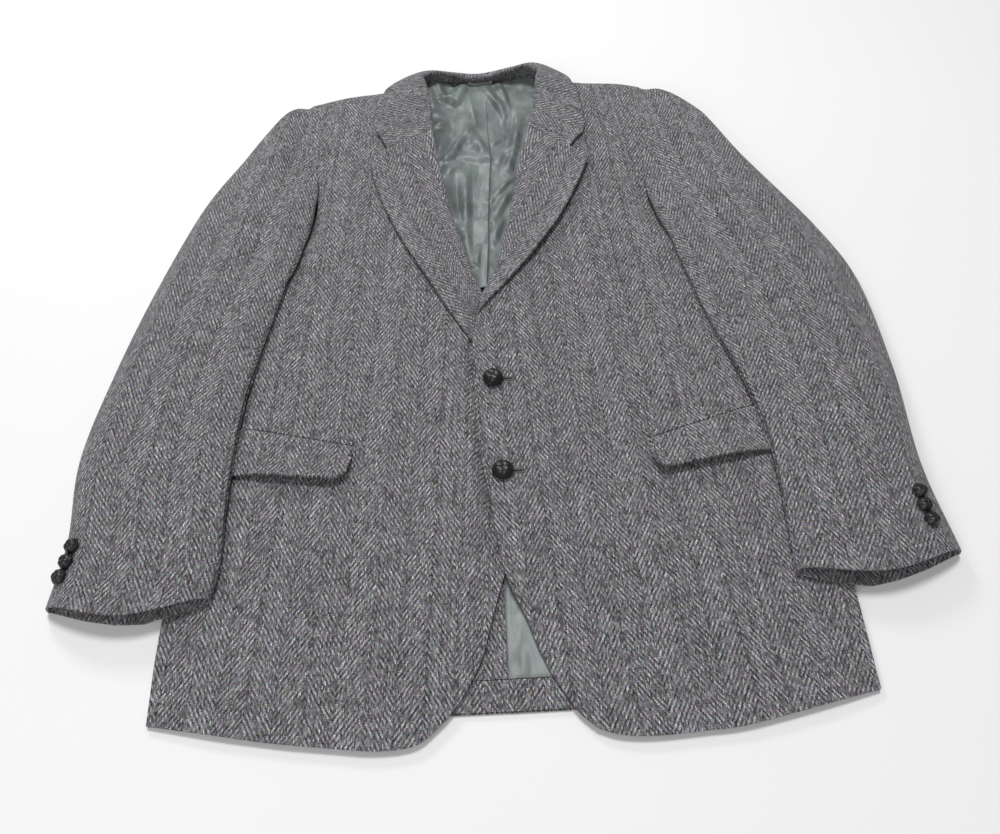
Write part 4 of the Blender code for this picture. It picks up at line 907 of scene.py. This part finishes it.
def head_heights(side, front):
    """Heights of the topsleeve's edge at the shoulder, from the armhole seam to the outer fold."""
    share = np.linspace(0, 1, HEAD_POINTS)
    start = height_on(front, *at_share(side_curve(side, SLEEVE_SEAM), HEAD_START))
    base = (1 - share) * start + share * SLEEVE_EDGE
    arch = sewn_section(share, fullness(share, HEAD_FULLNESS[side]))
    return base + (SLEEVE_HEIGHT[-1][1] - HEAD_LOWERED - SHOULDER_DROP - base) * arch


def topsleeve_grid(side, under, front):
    """The topsleeve's outer face, arched between its folded edges."""
    inner, outer, head = sleeve_edges(side)
    cuff = curve([inner[0], 0.5 * (inner[0] + outer[0]) - (0, CUFF_BOW), outer[0]])
    u = (1 - np.cos(np.linspace(0, math.pi, SLEEVE_POINTS))) / 2
    plan = patch(inner, outer, cuff, head, u, spread(*SLEEVE_ALONG))
    up = plan[..., 1]
    beside = np.array((side * FOLD_ASIDE, 0))
    below = [
        max(
            height_on(under, *(fold + beside), otherwise=0),
            height_on(under, *(fold + 3 * beside), otherwise=0),
            height_on(front, *(fold - beside)) + TWEED,
        )
        for fold in plan[:, 0]
    ]
    window = 2 * SMOOTHED + 1
    rest = np.convolve(np.pad(below, SMOOTHED, "edge"), np.full(window, 1 / window), "valid")
    seam_z = np.array([height_on(front, *(fold - (side * SEAM_ASIDE, 0))) for fold in plan[:, 0]])
    sewn = easing(up[:, :1], *SEWN_FROM[side])
    low = (1 - sewn) * (np.maximum(rest, below) + FOLD_ROOM)[:, None] + sewn * seam_z[:, None]
    base = (1 - u) * low + u * SLEEVE_EDGE
    height = steps(SLEEVE_HEIGHT, up) - HEAD_LOWERED * easing(up, *LOWERED_UP)
    height = height - SHOULDER_DROP * rounded_drop(length_of(plan - plan[-1:]), SHOULDER_ROUND)
    folded = fullness(u, SLEEVE_FULLNESS)
    turned = folded + easing(up, *HEAD_UP) * (fullness(u, HEAD_FULLNESS[side]) - folded)
    arch = (1 - sewn) * folded + sewn * sewn_section(u, turned)
    folds = soft_folds(side, SLEEVE_CREASES[side], plan) - soft_folds(side, SLEEVE_FOLDS[side], plan)
    z = base + (height - base) * arch + (folds + SLEEVE_WAVES * waves(plan, WAVES)) * np.sin(math.pi * u)
    return np.dstack([plan, z])


def laid(panel, plan, lift=0):
    """A piece's plan points, laid this far above a panel."""
    heights = np.array([[height_on(panel, x, up) for x, up in row] for row in plan])
    return np.dstack([plan, heights + lift])


def lay_flap(side, front):
    """A pocket flap's shown face, off the front that it lies on. Its top goes into the pocket's mouth."""
    top_front, top_back, low_front, low_back = np.array(to_side(side, FLAP[side]))
    length = length_of(low_back - low_front)
    corner = FLAP_CORNER / length
    round_part = corner * (1 - np.cos(np.linspace(0, math.pi / 2, FLAP_CORNER_POINTS)))
    share = np.concatenate([round_part, np.linspace(corner, 1, FLAP_POINTS)[1:]])
    top = top_front + share[:, None] * (top_back - top_front)
    low = low_front + share[:, None] * (low_back - low_front)
    low[:, 1] += FLAP_CORNER * rounded_drop(share * length, FLAP_CORNER)
    down = spread(*FLAP_DOWN)[:, None]
    held, held_from, held_to = FLAP_HELD
    free = FLAP_STANDS * (1 - held * easing(share, held_from, held_to)) * down**2
    sunk = MOUTH_DEPTH * (1 - easing(down * length_of(low - top), 0, MOUTH_WIDTH))
    return laid(front, top + down[..., None] * (low - top), CLEAR + FACED_TWEED + free - sunk)


def lay_jet(side, front):
    """The narrow jet sewn along the top of a pocket flap."""
    start, end = np.array(to_side(side, FLAP[side][:2])) + (0, JET_GAP)
    line = start + np.linspace(0, 1, JET_POINTS)[:, None] * JET_SHARE * (end - start)
    rise = np.linspace(1, 0, JET_ROWS)[:, None]
    bulge = (1 - rise) ** 0.5
    plan = np.array([line + (0, up * JET_WIDTH) for up in rise[:, 0]])
    return laid(front, plan, SEAM + JET_PUFF * np.sin(math.pi * bulge) + JET_WALL * bulge)


def neck_lining_grid(inside):
    """The lining that shows in the neck: it lies on the inside of the backs, with a pleat down the middle."""
    neck = []
    for side, order in ((RIGHT, 1), (LEFT, -1)):
        neck += [neck_edge(side, row, -LINING_INSET) for row in COLLAR[side][COLLAR_BEHIND:][::order]]
    low, top = curve(LINING_END), curve(neck)
    right, left = (
        curve((low[end], *to_side(side, LINING_SIDE[side]), top[end]))
        for side, end in ((RIGHT, 0), (LEFT, -1))
    )
    t = np.linspace(-1, 1, LINING_POINTS)
    along = np.linspace(0, 1, LINING_ROWS)
    evenly, gathered = LINING_GATHERED
    plan = patch(right, left, low, top, 0.5 + 0.5 * t * (evenly + gathered * t**2), along)
    sag = steps(LINING_SAG, plan[..., 0]) * along[:, None] ** SAG_FADE
    plan[..., 1] -= sag
    x, up = plan[..., 0], plan[..., 1]
    at_up, edge_x, height = np.array(PLEAT).T
    away = x - np.interp(up, at_up, edge_x)
    section = np.where(away < 0, np.exp(away / PLEAT_SPREAD), easing(away, PLEAT_EDGE, 0))
    hollow = LINING_RISE * (away / LINING_HALF_WIDTH) ** 2
    beside_seam = np.where(np.abs(x - CENTRE_BACK) < SEAM_CLEAR, CENTRE_BACK + SEAM_CLEAR, x)
    z = laid(inside, np.dstack([beside_seam, up]), TWEED + CLEAR + LINING)[..., 2]
    z += np.interp(up, at_up, height) * section + hollow
    folds = soft_folds(1, LINING_FOLDS, plan, lopsided=LINING_LEAN)
    z += np.maximum(folds + waves(plan, LINING_WAVES), -LINING_HOLLOW)
    z += soft_folds(1, LINING_CREASES, plan, sharp=LINING_SHARP)
    stands = TOP_STANDS - TOP_SINKS * easing(sag, 0, SUNK_FROM)
    return np.dstack([plan, z + easing(along, *STANDS_FROM)[:, None] * stands])


def hanger_loop(stand):
    """A tape sewn at its two ends to the stand, hanging a little between them."""
    foot_up, foot_out = HANGER_FOOT
    rows = []
    for share in np.linspace(0, 1, HANGER_POINTS):
        x = HANGER[0] + share * (HANGER[1] - HANGER[0])
        drop = HANGER_SAG * math.sin(math.pi * share)
        k = np.abs(stand[:, -1, 0] - x).argmin()
        foot, top = stand[k, -1], stand[k, -len(STAND_SHARES)]
        rise = (top - foot) / length_of(top - foot)
        out = np.array((0, -rise[2], rise[1]))
        low = foot + (foot_up - drop) * rise + (foot_out + drop) * out
        low[0] = x
        rows.append((low, low + HANGER_WIDTH * rise - HANGER_LEAN * out))
    return np.array(rows)


def flat_strip(corners, z, columns, lines):
    """A flat piece between two opposite corners in plan."""
    (x0, up0), (x1, up1) = corners
    x, up = np.meshgrid(np.linspace(x0, x1, columns), np.linspace(up0, up1, lines))
    return np.dstack([x, up, np.full_like(x, z)])


def on_panel(panel, x, up, lift=0.0):
    """A point above a panel, in the scene's own place."""
    return (x - OUTLINE_MIDDLE[0], up - OUTLINE_MIDDLE[1], height_on(panel, x, up) + lift)


def seat(diameter, x, up, panel):
    """Where a button sits on a panel, and the turn that sets it square to the cloth."""
    reach = diameter / 3
    slope_x = height_on(panel, x + reach, up) - height_on(panel, x - reach, up)
    slope_up = height_on(panel, x, up + reach) - height_on(panel, x, up - reach)
    facing = Vector((-slope_x, -slope_up, 2 * reach)).normalized()
    return Vector(on_panel(panel, x, up)) + facing * BUTTON_SEAT, facing.to_track_quat("Z", "Y")


def strip_rings(line, normal, strip, turned):
    """Rings of points round one leather strip of a button, over and under the strips that cross it."""
    run = run_along(line, 0)
    s = np.linspace(-STRIP_REACH, STRIP_REACH, STRIP_RINGS)[:, None]
    angle = np.linspace(0, 2 * math.pi, STRIP_POINTS, endpoint=False)
    over = STRIP_LIFT * (-1) ** turned * 2 * strip * np.sin(math.pi * s / STRIP_PITCH)
    wide, high = (np.copysign(abs(part) ** STRIP_ROUND, part) for part in (np.cos(angle), np.sin(angle)))
    w = strip * STRIP_PITCH + STRIP_WIDTH / 2 * wide
    away = np.hypot(w, s)
    raised = (over + STRIP_WALL * high) * (1 - RIM_FLATTENS * easing(away, *RIM))
    out, z = (np.interp(away, run, line[:, k]) + raised * np.interp(away, run, normal[:, k]) for k in (0, 1))
    x, y = w / away * out, s / away * out
    return np.dstack([y, x, z] if turned else [x, y, z])


def woven_button(node, diameter, x, up, panel, turn):
    """A leather button: a low dome on a shank, covered by two broad strips woven through two others."""
    turns = np.linspace(0, 2 * math.pi, BUTTON_ROUND, endpoint=False)
    out, height = curve(BUTTON_PROFILE[1:], fine=3).T[..., None]
    out = np.maximum(out - STRIP_WALL, 0)
    shapes = [np.dstack([out * np.cos(turns), out * np.sin(turns), height * BASE_SHARE + 0 * turns])]
    line = curve(BUTTON_PROFILE[:PROFILE_COVERED], fine=10)
    normal = np.gradient(line, axis=0)[:, ::-1] * (-1, 1)
    normal /= length_of(normal)[:, None]
    shapes += [strip_rings(line, normal, strip, turned) for turned in (0, 1) for strip in (-0.5, 0.5)]
    at, upright = seat(diameter, x, up, panel)
    turned = (upright.to_matrix() @ Euler((0, 0, math.radians(turn))).to_matrix()).to_euler()
    scaled_up = [diameter * rings for rings in shapes]
    tubes(f"{node}_woven", scaled_up, "leather", "button_leather", node, at=at, turned=turned)


def buttonhole(number, x, up, panel):
    """A worked buttonhole: a ring of thread with a stitch at every turn, round a slit whose near-black colour
    is painted shade of the opening.
    """
    start, end = x - HOLE_LENGTH * HOLE_BEFORE, x + HOLE_LENGTH * (1 - HOLE_BEFORE)
    half = HOLE_WIDTH / 2
    turns = np.linspace(-math.pi / 2, math.pi / 2, HOLE_TURN_POINTS)
    turns = np.concatenate([turns, turns + math.pi])
    middles = np.repeat((end - half, start + half), HOLE_TURN_POINTS)
    loop = np.stack([middles + half * np.cos(turns), up + half * np.sin(turns)], axis=1)
    path = at_share(np.vstack([loop, loop[:1]]), np.linspace(0, 1, STITCHES * STITCH_RINGS, endpoint=False))
    ahead = np.roll(path, -1, axis=0) - np.roll(path, 1, axis=0)
    ahead /= length_of(ahead)[:, None]
    rings = []
    for k, (point, (ahead_x, ahead_up)) in enumerate(zip(path, ahead)):
        size = THREAD * (1 if k % STITCH_RINGS == 1 else BETWEEN_STITCHES)
        ring = []
        for angle in np.linspace(0, 2 * math.pi, THREAD_POINTS, endpoint=False):
            aside = size * STITCH_WIDE * math.cos(angle)
            lift = size * STITCH_HIGH * (1 + math.sin(angle)) - STITCH_SUNK
            ring.append(on_panel(panel, *(point + (aside * ahead_up, -aside * ahead_x)), lift))
        rings.append(ring)
    tubes(f"buttonhole_{number}_stitches", [rings], "thread", "tweed", closed=True)
    above, below = SLIT_FACES
    least, more = SLIT_ENDS
    # The slit: a near-black sheet, painted shade of the opening.
    slit = []
    for share in np.linspace(0, 1, SLIT_POINTS):
        at_x = start + half + share * (end - start - 2 * half)
        wide = SLIT_WIDTH / 2 * math.sin(math.pi * (least + more * share)) ** 0.5
        corners = ((-wide, above), (wide, above), (wide, below), (-wide, below))
        slit.append([on_panel(panel, at_x, up + aside, lift) for aside, lift in corners])
    tubes(f"buttonhole_{number}_slit", [slit], "slit", "tweed")


def wire(tree, kind, inputs, **settings):
    """A new shader node, with its settings and its inputs set or linked."""
    made = tree.nodes.new(kind)
    for name, value in settings.items():
        setattr(made, name, value)
    for socket, value in inputs.items():
        if isinstance(value, bpy.types.NodeSocket):
            tree.links.new(value, made.inputs[socket])
        else:
            made.inputs[socket].default_value = value
    return made


def calc(tree, operation, *values):
    return wire(tree, "ShaderNodeMath", dict(enumerate(values)), operation=operation).outputs[0]


def vector(tree, operation, *values):
    return wire(tree, "ShaderNodeVectorMath", dict(enumerate(values)), operation=operation).outputs[0]


def scaled(tree, value, factor):
    return wire(tree, "ShaderNodeVectorMath", {0: value, "Scale": factor}, operation="SCALE").outputs[0]


def combined(tree, *values):
    return wire(tree, "ShaderNodeCombineXYZ", dict(enumerate(values))).outputs[0]


def mixed(tree, share, one, other):
    """One colour, turning into the other as the share goes from 0 to 1."""
    return wire(tree, "ShaderNodeMix", {0: share, 6: one, 7: other}, data_type="RGBA").outputs[2]


def between(tree, value, low, high, to_low=0.0, to_high=1.0):
    """A value between low and high, moved to the range between to_low and to_high, smooth at its ends."""
    inputs = {"Value": value, "From Min": low, "From Max": high, "To Min": to_low, "To Max": to_high}
    return wire(tree, "ShaderNodeMapRange", inputs, interpolation_type="SMOOTHSTEP").outputs[0]


def noise(tree, place, scale, detail, output="Fac"):
    """Soft irregular patches."""
    inputs = {"Vector": place, "Scale": scale, "Detail": detail}
    return wire(tree, "ShaderNodeTexNoise", inputs).outputs[output]


def placed(tree, group, **inputs):
    """A shared effect placed in a material, with this material's own values."""
    return wire(tree, "ShaderNodeGroup", inputs, node_tree=group).outputs


def new_group(name, takes):
    """An empty effect that gives a colour and a height, what it takes, and the sockets that it fills."""
    group = bpy.data.node_groups.new(name, "ShaderNodeTree")
    for socket, kind, value in takes:
        made = group.interface.new_socket(socket, in_out="INPUT", socket_type=f"NodeSocket{kind}")
        made.default_value = value
    for socket, kind in (("Color", "Color"), ("Height", "Float")):
        group.interface.new_socket(socket, in_out="OUTPUT", socket_type=f"NodeSocket{kind}")
    return group, group.nodes.new("NodeGroupInput").outputs, group.nodes.new("NodeGroupOutput").inputs


def herringbone_group():
    """Broken twill that turns at every column: warp yarns over weft yarns, two by two."""
    takes = (
        ("Grain", "Vector", (0, 0, 0)),  # millimetres across and along the warp
        ("Across", "Float", PITCH_ACROSS * TO_MILLIMETRES),  # from one warp yarn to the next
        ("Along", "Float", PITCH_ALONG * TO_MILLIMETRES),  # from one weft yarn to the next
        ("Ends In Column", "Float", ENDS_IN_COLUMN),
        ("Warp", "Color", LIGHT_YARN),
        ("Weft", "Color", DARK_YARN),
        ("Wander", "Float", 0.5),  # millimetres that the yarns stray
        ("Variation", "Float", 0.25),  # of brightness from float to float
    )
    tree, take, give = new_group("herringbone", takes)
    add, times, times_add, floor, over, rest = (
        partial(calc, tree, name)
        for name in ("ADD", "MULTIPLY", "MULTIPLY_ADD", "FLOOR", "DIVIDE", "FLOORED_MODULO")
    )
    # The yarns stray a little, and are counted across and along.
    stray = noise(tree, take["Grain"], 0.12, 2.0, "Color")
    centred = vector(tree, "SUBTRACT", stray, (0.5, 0.5, 0.5))
    grain = vector(tree, "ADD", take["Grain"], scaled(tree, centred, times(take["Wander"], 3.0)))
    yarns = vector(tree, "DIVIDE", grain, combined(tree, take["Across"], take["Along"], 1.0))
    split = wire(tree, "ShaderNodeSeparateXYZ", {0: yarns}).outputs
    end, pick = floor(split["X"]), floor(split["Y"])
    # The diagonal turns from column to column.
    column = floor(over(end, take["Ends In Column"]))
    lean = times_add(rest(column, 2.0), -2.0, 1.0)
    shift = times_add(column, 2.0, times(lean, end))
    warp_over = calc(tree, "LESS_THAN", rest(add(pick, shift), 4.0), 1.5)
    # How far along its float each yarn is, and its rounded height there.
    along_warp = times(rest(add(split["Y"], shift), 4.0), 0.5)
    cross_run = times_add(split["X"], lean, times_add(column, 2.0, pick))
    along_weft = times(rest(cross_run, 4.0), 0.5)
    rounds = []
    for yarn, along in ((split["X"], along_warp), (split["Y"], along_weft)):
        aside = times_add(calc(tree, "FRACT", yarn), 2.0, -1.0)
        section = calc(tree, "SUBTRACT", 1.0, times(aside, aside))
        arch = calc(tree, "ABSOLUTE", calc(tree, "SINE", times(along, math.pi)))
        rounds.append(times(section, times_add(arch, 0.5, 0.5)))
    shown = {0: warp_over, 2: rounds[1], 3: rounds[0]}
    height = wire(tree, "ShaderNodeMix", shown, data_type="FLOAT").outputs[0]
    # Each float has its own brightness, the yarns are slubby, hairy and uneven, and painted shade darkens
    # them where they dip between one another.
    seed = combined(tree, end, floor(over(add(pick, shift), 4.0)), warp_over)
    chance = wire(tree, "ShaderNodeTexWhiteNoise", {"Vector": seed}, noise_dimensions="3D").outputs["Value"]
    streak = wire(tree, "ShaderNodeTexWhiteNoise", {"W": end}, noise_dimensions="1D").outputs["Value"]
    slub = noise(tree, vector(tree, "MULTIPLY", grain, (0.9, 0.16, 1)), 1.0, 2.0)
    fuzz, speckle, felted, mottle = (
        noise(tree, take["Grain"], scale, detail)
        for scale, detail in ((2.2, 3.0), (0.75, 1.0), (0.14, 3.0), (0.04, 3.0))
    )
    own = times(calc(tree, "SUBTRACT", chance, 0.5), times(take["Variation"], 2.0))
    tone = add(own, times_add(slub, 1.2, 0.4))
    for value, factor, least in (
        (fuzz, 1.8, 0.1),
        (speckle, 2.4, -0.2),
        (mottle, 0.6, 0.7),
        # the yarns' height: painted shade where they dip at their sides and ends
        (height, 0.5, 0.7),
        (streak, 0.36, 0.82),
    ):
        tone = times(tone, times_add(value, factor, least))
    from_turn = calc(tree, "PINGPONG", calc(tree, "FRACT", over(split["X"], take["Ends In Column"])), 0.5)
    tone = times(tone, between(tree, from_turn, 0.0, 0.09, 0.80, 1.02))
    # Felted places hide the weave.
    hairy = between(tree, felted, 0.32, 0.66, 0.15, 0.85)
    straight = mixed(tree, warp_over, take["Weft"], take["Warp"])
    covered = mixed(tree, hairy, straight, mixed(tree, 0.42, take["Weft"], take["Warp"]))
    dyed = noise(tree, take["Grain"], 0.45, 1.0, "Color")
    tint = vector(tree, "MULTIPLY_ADD", dyed, (0.8, 0.8, 0.8), (0.6, 0.6, 0.6))
    tree.links.new(scaled(tree, vector(tree, "MULTIPLY", covered, tint), tone), give["Color"])
    tree.links.new(times_add(fuzz, 0.5, height), give["Height"])
    return tree


def unevenness_group():
    """Soft unevenness of a surface: lighter and darker patches, and a fine height. The lining satin uses its
    patches as painted shade of its folds.
    """
    takes = (
        ("Place", "Vector", (0, 0, 0)),
        ("Patches", "Float", 40.0),  # patches in a metre
        ("Fineness", "Float", 1500.0),  # bumps in a metre
        ("Amount", "Float", 0.2),
        ("Color", "Color", (0.5, 0.5, 0.5, 1)),
    )
    tree, take, give = new_group("unevenness_and_shade", takes)
    patches = noise(tree, take["Place"], take["Patches"], 3.0)
    fine = noise(tree, take["Place"], take["Fineness"], 2.0)
    both = calc(tree, "MULTIPLY_ADD", patches, 0.7, calc(tree, "MULTIPLY", fine, 0.3))
    away = calc(tree, "MULTIPLY", calc(tree, "SUBTRACT", both, 0.5), take["Amount"])
    tone = calc(tree, "MULTIPLY_ADD", away, 2.0, 1.0)
    tree.links.new(scaled(tree, take["Color"], tone), give["Color"])
    tree.links.new(fine, give["Height"])
    return tree


def new_finish(name, **sockets):
    """A material with one Principled shader, its uniform values set on its own sockets."""
    made = bpy.data.materials.new(name)
    made.use_nodes = True
    shader = made.node_tree.nodes["Principled BSDF"]
    for socket, value in sockets.items():
        shader.inputs[socket.replace("_", " ")].default_value = value
    return made, made.node_tree, shader


def finish_with(tree, shader, colour, height, distance, strength):
    """The colour and the fine relief of a finish."""
    tree.links.new(colour, shader.inputs["Base Color"])
    inputs = {"Height": height, "Distance": distance, "Strength": strength}
    tree.links.new(wire(tree, "ShaderNodeBump", inputs).outputs[0], shader.inputs["Normal"])


def own_place(tree):
    """Each point's place on its own piece, in metres."""
    return wire(tree, "ShaderNodeTexCoord", {}).outputs["Object"]


def tweed(name, warp=LIGHT_YARN, weft=DARK_YARN, wander=0.7, variation=0.62):
    """Herringbone tweed: rough wool with a faint bloom."""
    made, tree, shader = new_finish(
        name, Roughness=0.92, Specular_IOR_Level=0.25, Sheen_Weight=0.12, Sheen_Roughness=0.5
    )
    grain = wire(tree, "ShaderNodeUVMap", {}, uv_map="grain").outputs[0]
    face = placed(tree, HERRINGBONE, Grain=grain, Warp=warp, Weft=weft, Wander=wander, Variation=variation)
    finish_with(tree, shader, face["Color"], face["Height"], 0.0004, 0.7)
    return made


def satin(name, colour, other):
    """Lining satin: a fine warp-faced sheen, its colour turning from one colour to the other in random
    patches, with painted shade of the folds as lighter and darker patches drawn out along them.
    """
    made, tree, shader = new_finish(
        name, Roughness=0.42, Specular_IOR_Level=0.55, Sheen_Weight=0.1, Sheen_Roughness=0.5
    )
    place = own_place(tree)
    shot = mixed(tree, between(tree, noise(tree, place, 22.0, 1.0), 0.38, 0.62), colour, other)
    # Painted shade of the folds: broad lighter and darker patches, drawn out along them.
    drawn_out = vector(tree, "MULTIPLY", place, (1.9, 1, 1))
    uneven = placed(tree, UNEVENNESS_AND_SHADE, Place=drawn_out, Patches=24.0, Fineness=900.0, Amount=1.3, Color=shot)
    threads = noise(tree, vector(tree, "MULTIPLY", place, (3200, 120, 120)), 1.0, 1.0)
    ripples = noise(tree, drawn_out, 34.0, 1.0)
    height = calc(tree, "MULTIPLY_ADD", threads, 0.6, uneven["Height"])
    height = calc(tree, "MULTIPLY_ADD", ripples, 60.0, height)
    finish_with(tree, shader, uneven["Color"], height, 0.00006, 0.8)
    return made


def leather(name, colour):
    """Strip leather: fine grain, worn a little smoother in patches."""
    made, tree, shader = new_finish(name, Roughness=0.38, Specular_IOR_Level=0.6)
    place = own_place(tree)
    uneven = placed(tree, UNEVENNESS_AND_SHADE, Place=place, Patches=350.0, Fineness=2500.0, Amount=0.5, Color=colour)
    pores = wire(tree, "ShaderNodeTexVoronoi", {"Vector": place, "Scale": 1400.0}).outputs["Distance"]
    height = calc(tree, "MULTIPLY_ADD", pores, 0.8, uneven["Height"])
    tree.links.new(between(tree, uneven["Height"], 0.3, 0.7, 0.33, 0.46), shader.inputs["Roughness"])
    finish_with(tree, shader, uneven["Color"], height, 0.00006, 0.6)
    return made


def matt(name, colour, patches, fineness, amount, relief, **sockets):
    """A matt finish, uneven in colour and height."""
    made, tree, shader = new_finish(name, **sockets)
    values = {"Patches": patches, "Fineness": fineness, "Amount": amount, "Color": colour}
    uneven = placed(tree, UNEVENNESS_AND_SHADE, Place=own_place(tree), **values)
    finish_with(tree, shader, uneven["Color"], uneven["Height"], 0.0001, relief)
    return made


def yarn(name, colour, roughness=0.8):
    """Sewing thread, tape, and the painted shade of a buttonhole's slit: matt fibres."""
    return matt(name, colour, 400.0, 4000.0, 0.5, 0.8, Roughness=roughness, Sheen_Weight=0.2)


HERRINGBONE = herringbone_group()
UNEVENNESS_AND_SHADE = unevenness_group()
FINISHES = {
    "body": tweed("body_tweed"),
    "sleeve": tweed("sleeve_tweed"),
    "facing": tweed("facing_tweed"),
    "satin": satin("lining_satin", (0.136, 0.168, 0.154, 1), (0.144, 0.162, 0.170, 1)),
    "leather": leather("strip_leather", (0.0040, 0.0036, 0.0048, 1)),
    "thread": yarn("buttonhole_thread", (0.10, 0.095, 0.10, 1)),
    # near-black: painted shade in the buttonholes' slits
    "slit": yarn("buttonhole_slit_shade", (0.008, 0.008, 0.008, 1), 0.95),
    "loop": yarn("hanger_tape", (0.30, 0.31, 0.23, 1)),
}


def piece(node, grid, wall, finish, grain, rests_on=(), slot="tweed", grow_down=True):
    """A sheet of cloth in place of a node."""
    made = cloth(f"{node}_cloth", grid, wall, finish, grain, slot, node, grow_down=grow_down)
    rests_on = [f"{name}_cloth" for name in rests_on]


fronts = {side: front_grid(side) for side in (RIGHT, LEFT)}
backs = {side: back_grid(side) for side in (RIGHT, LEFT)}
for side, label in ((RIGHT, "right"), (LEFT, "left")):
    back, front = backs[side], surface(fronts[side])
    on_front = [f"front_{label}"]
    piece(f"back_{label}", back, TWEED, "body", plan_grain(side, back), grow_down=False)
    piece(f"front_{label}", fronts[side], TWEED, "body", plan_grain(side, fronts[side]), [f"back_{label}"])
    lapel = lapel_rows(side, front)
    piece(f"lapel_{label}", lapel, FACED_TWEED, "facing", edge_grain(lapel), on_front)
    flap = lay_flap(side, front)
    piece(f"pocket_flap_{label}", flap, FACED_TWEED, "body", plan_grain(side, flap), on_front)
    jet = lay_jet(side, front)
    piece(f"pocket_jet_{label}", jet, JET_WALL, "body", plan_grain(side, jet), on_front)
    under = undersleeve_grid(side, front, back, head_heights(side, front) - TWEED - SEAM)
    piece(f"undersleeve_{label}", under, TWEED, "sleeve", sleeve_grain(under), on_front, grow_down=False)
    sleeve = topsleeve_grid(side, surface(under + (0, 0, TWEED)), front)
    piece(f"topsleeve_{label}", sleeve, TWEED, "sleeve", sleeve_grain(sleeve), [f"undersleeve_{label}"])
    sleeve_face = surface(sleeve)
    for number, (out, up) in enumerate(CUFF_BUTTONS[side], 1):
        turn = CUFF_BUTTON_TURN[0] + CUFF_BUTTON_TURN[1] * number
        woven_button(f"cuff_button_{label}_{number}", CUFF_BUTTON, side * out, up, sleeve_face, turn)

collar = collar_rows(surface(*fronts.values()))
along_collar = np.broadcast_to(run_along(collar[:, FALL_MIDDLE : FALL_MIDDLE + 1], 0), collar.shape[:2])
collar_grain = np.dstack([along_collar, run_along(collar, 1)])
piece("collar", collar, FACED_TWEED, "facing", collar_grain, ["front_right", "front_left"])
left_front = surface(fronts[LEFT])
for number, (x, up) in enumerate(zip(BUTTONS_X, BUTTONS_UP), 1):
    turn = FRONT_BUTTON_TURN[0] + FRONT_BUTTON_TURN[1] * number
    woven_button(f"front_button_{number}", FRONT_BUTTON, x, up, left_front, turn)
    buttonhole(number, x, up, left_front)

on_backs = ["back_right", "back_left"]
for node, corners, columns, lines, finish, slot in (
    ("back_hem_facing", HEM_FACING, 32, 8, "facing", "tweed"),
    ("vent_facing", VENT_FACING, 8, 32, "facing", "tweed"),
    ("skirt_lining", SKIRT_LINING, 24, 32, "satin", "lining"),
):
    strip = flat_strip(corners, TWEED + CLEAR + LINING, columns, lines)
    piece(node, strip, LINING, finish, plan_grain(RIGHT, strip), on_backs, slot)
lining = neck_lining_grid(surface(*backs.values()))
piece("neck_lining", lining, LINING, "satin", plan_grain(RIGHT, lining), on_backs, "lining")
tape = hanger_loop(collar)
tape_grain = edge_grain(tape)
cloth("hanger_loop_tape", tape, HANGER_WALL, "loop", tape_grain, "lining", grow_down=False, edge=HANGER_EDGE)

# Floor, light and camera.
FLOOR_HALF = 3.0
FLOOR_Z = -0.0005
LENS, SENSOR_WIDTH = 32.4, 36
CAMERA_AT = (0.0044, -0.649, 0.731)
CAMERA_TILT, CAMERA_ROLL = 35.9, -3  # degrees
SURROUNDINGS = 0.27  # strength of the even light from all around


def in_scene(data, place=(0, 0, 0), turned=(0, 0, 0)):
    """Puts the floor, a light or the camera in its place."""
    made = bpy.data.objects.new(data.name, data)
    made.location = place
    made.rotation_euler = turned
    bpy.context.scene.collection.objects.link(made)
    return made


floor = bpy.data.meshes.new("floor")
corners = [(x * FLOOR_HALF, y * FLOOR_HALF, FLOOR_Z) for x, y in ((-1, -1), (1, -1), (1, 1), (-1, 1))]
floor.from_pydata(corners, [], [(0, 1, 2, 3)])
floor.materials.append(matt("pale_floor", (0.84, 0.84, 0.84, 1), 2.0, 300.0, 0.02, 0.2, Roughness=0.85))
ground = in_scene(floor)

for name, place, aim, size, power in (
    ("key", (0.05, 0.75, 2.90), (0, 0, 0), 0.8, 51),
    ("side", (-0.9, 1.7, 1.4), (0, 0.1, 0), 0.6, 15),
    ("fill", (-0.9, -1.9, 1.7), (0, 0.1, 0), 1.8, 22),
):
    light = bpy.data.lights.new(name, "AREA")
    light.shape = "DISK"
    light.size = size
    light.energy = power
    in_scene(light, place, (Vector(aim) - Vector(place)).to_track_quat("-Z", "Y").to_euler())
world = bpy.data.worlds.new("studio")
world.use_nodes = True
background = world.node_tree.nodes["Background"].inputs
background["Color"].default_value = (1, 1, 1, 1)
background["Strength"].default_value = SURROUNDINGS
bpy.context.scene.world = world
bpy.context.scene.view_settings.view_transform = "Standard"

lens = bpy.data.cameras.new("camera")
lens.lens = LENS
lens.sensor_width = SENSOR_WIDTH
tilt = Euler((math.radians(CAMERA_TILT), 0, 0)).to_matrix()
roll = Euler((0, 0, math.radians(CAMERA_ROLL))).to_matrix()
bpy.context.scene.camera = in_scene(lens, CAMERA_AT, (tilt @ roll).to_euler())
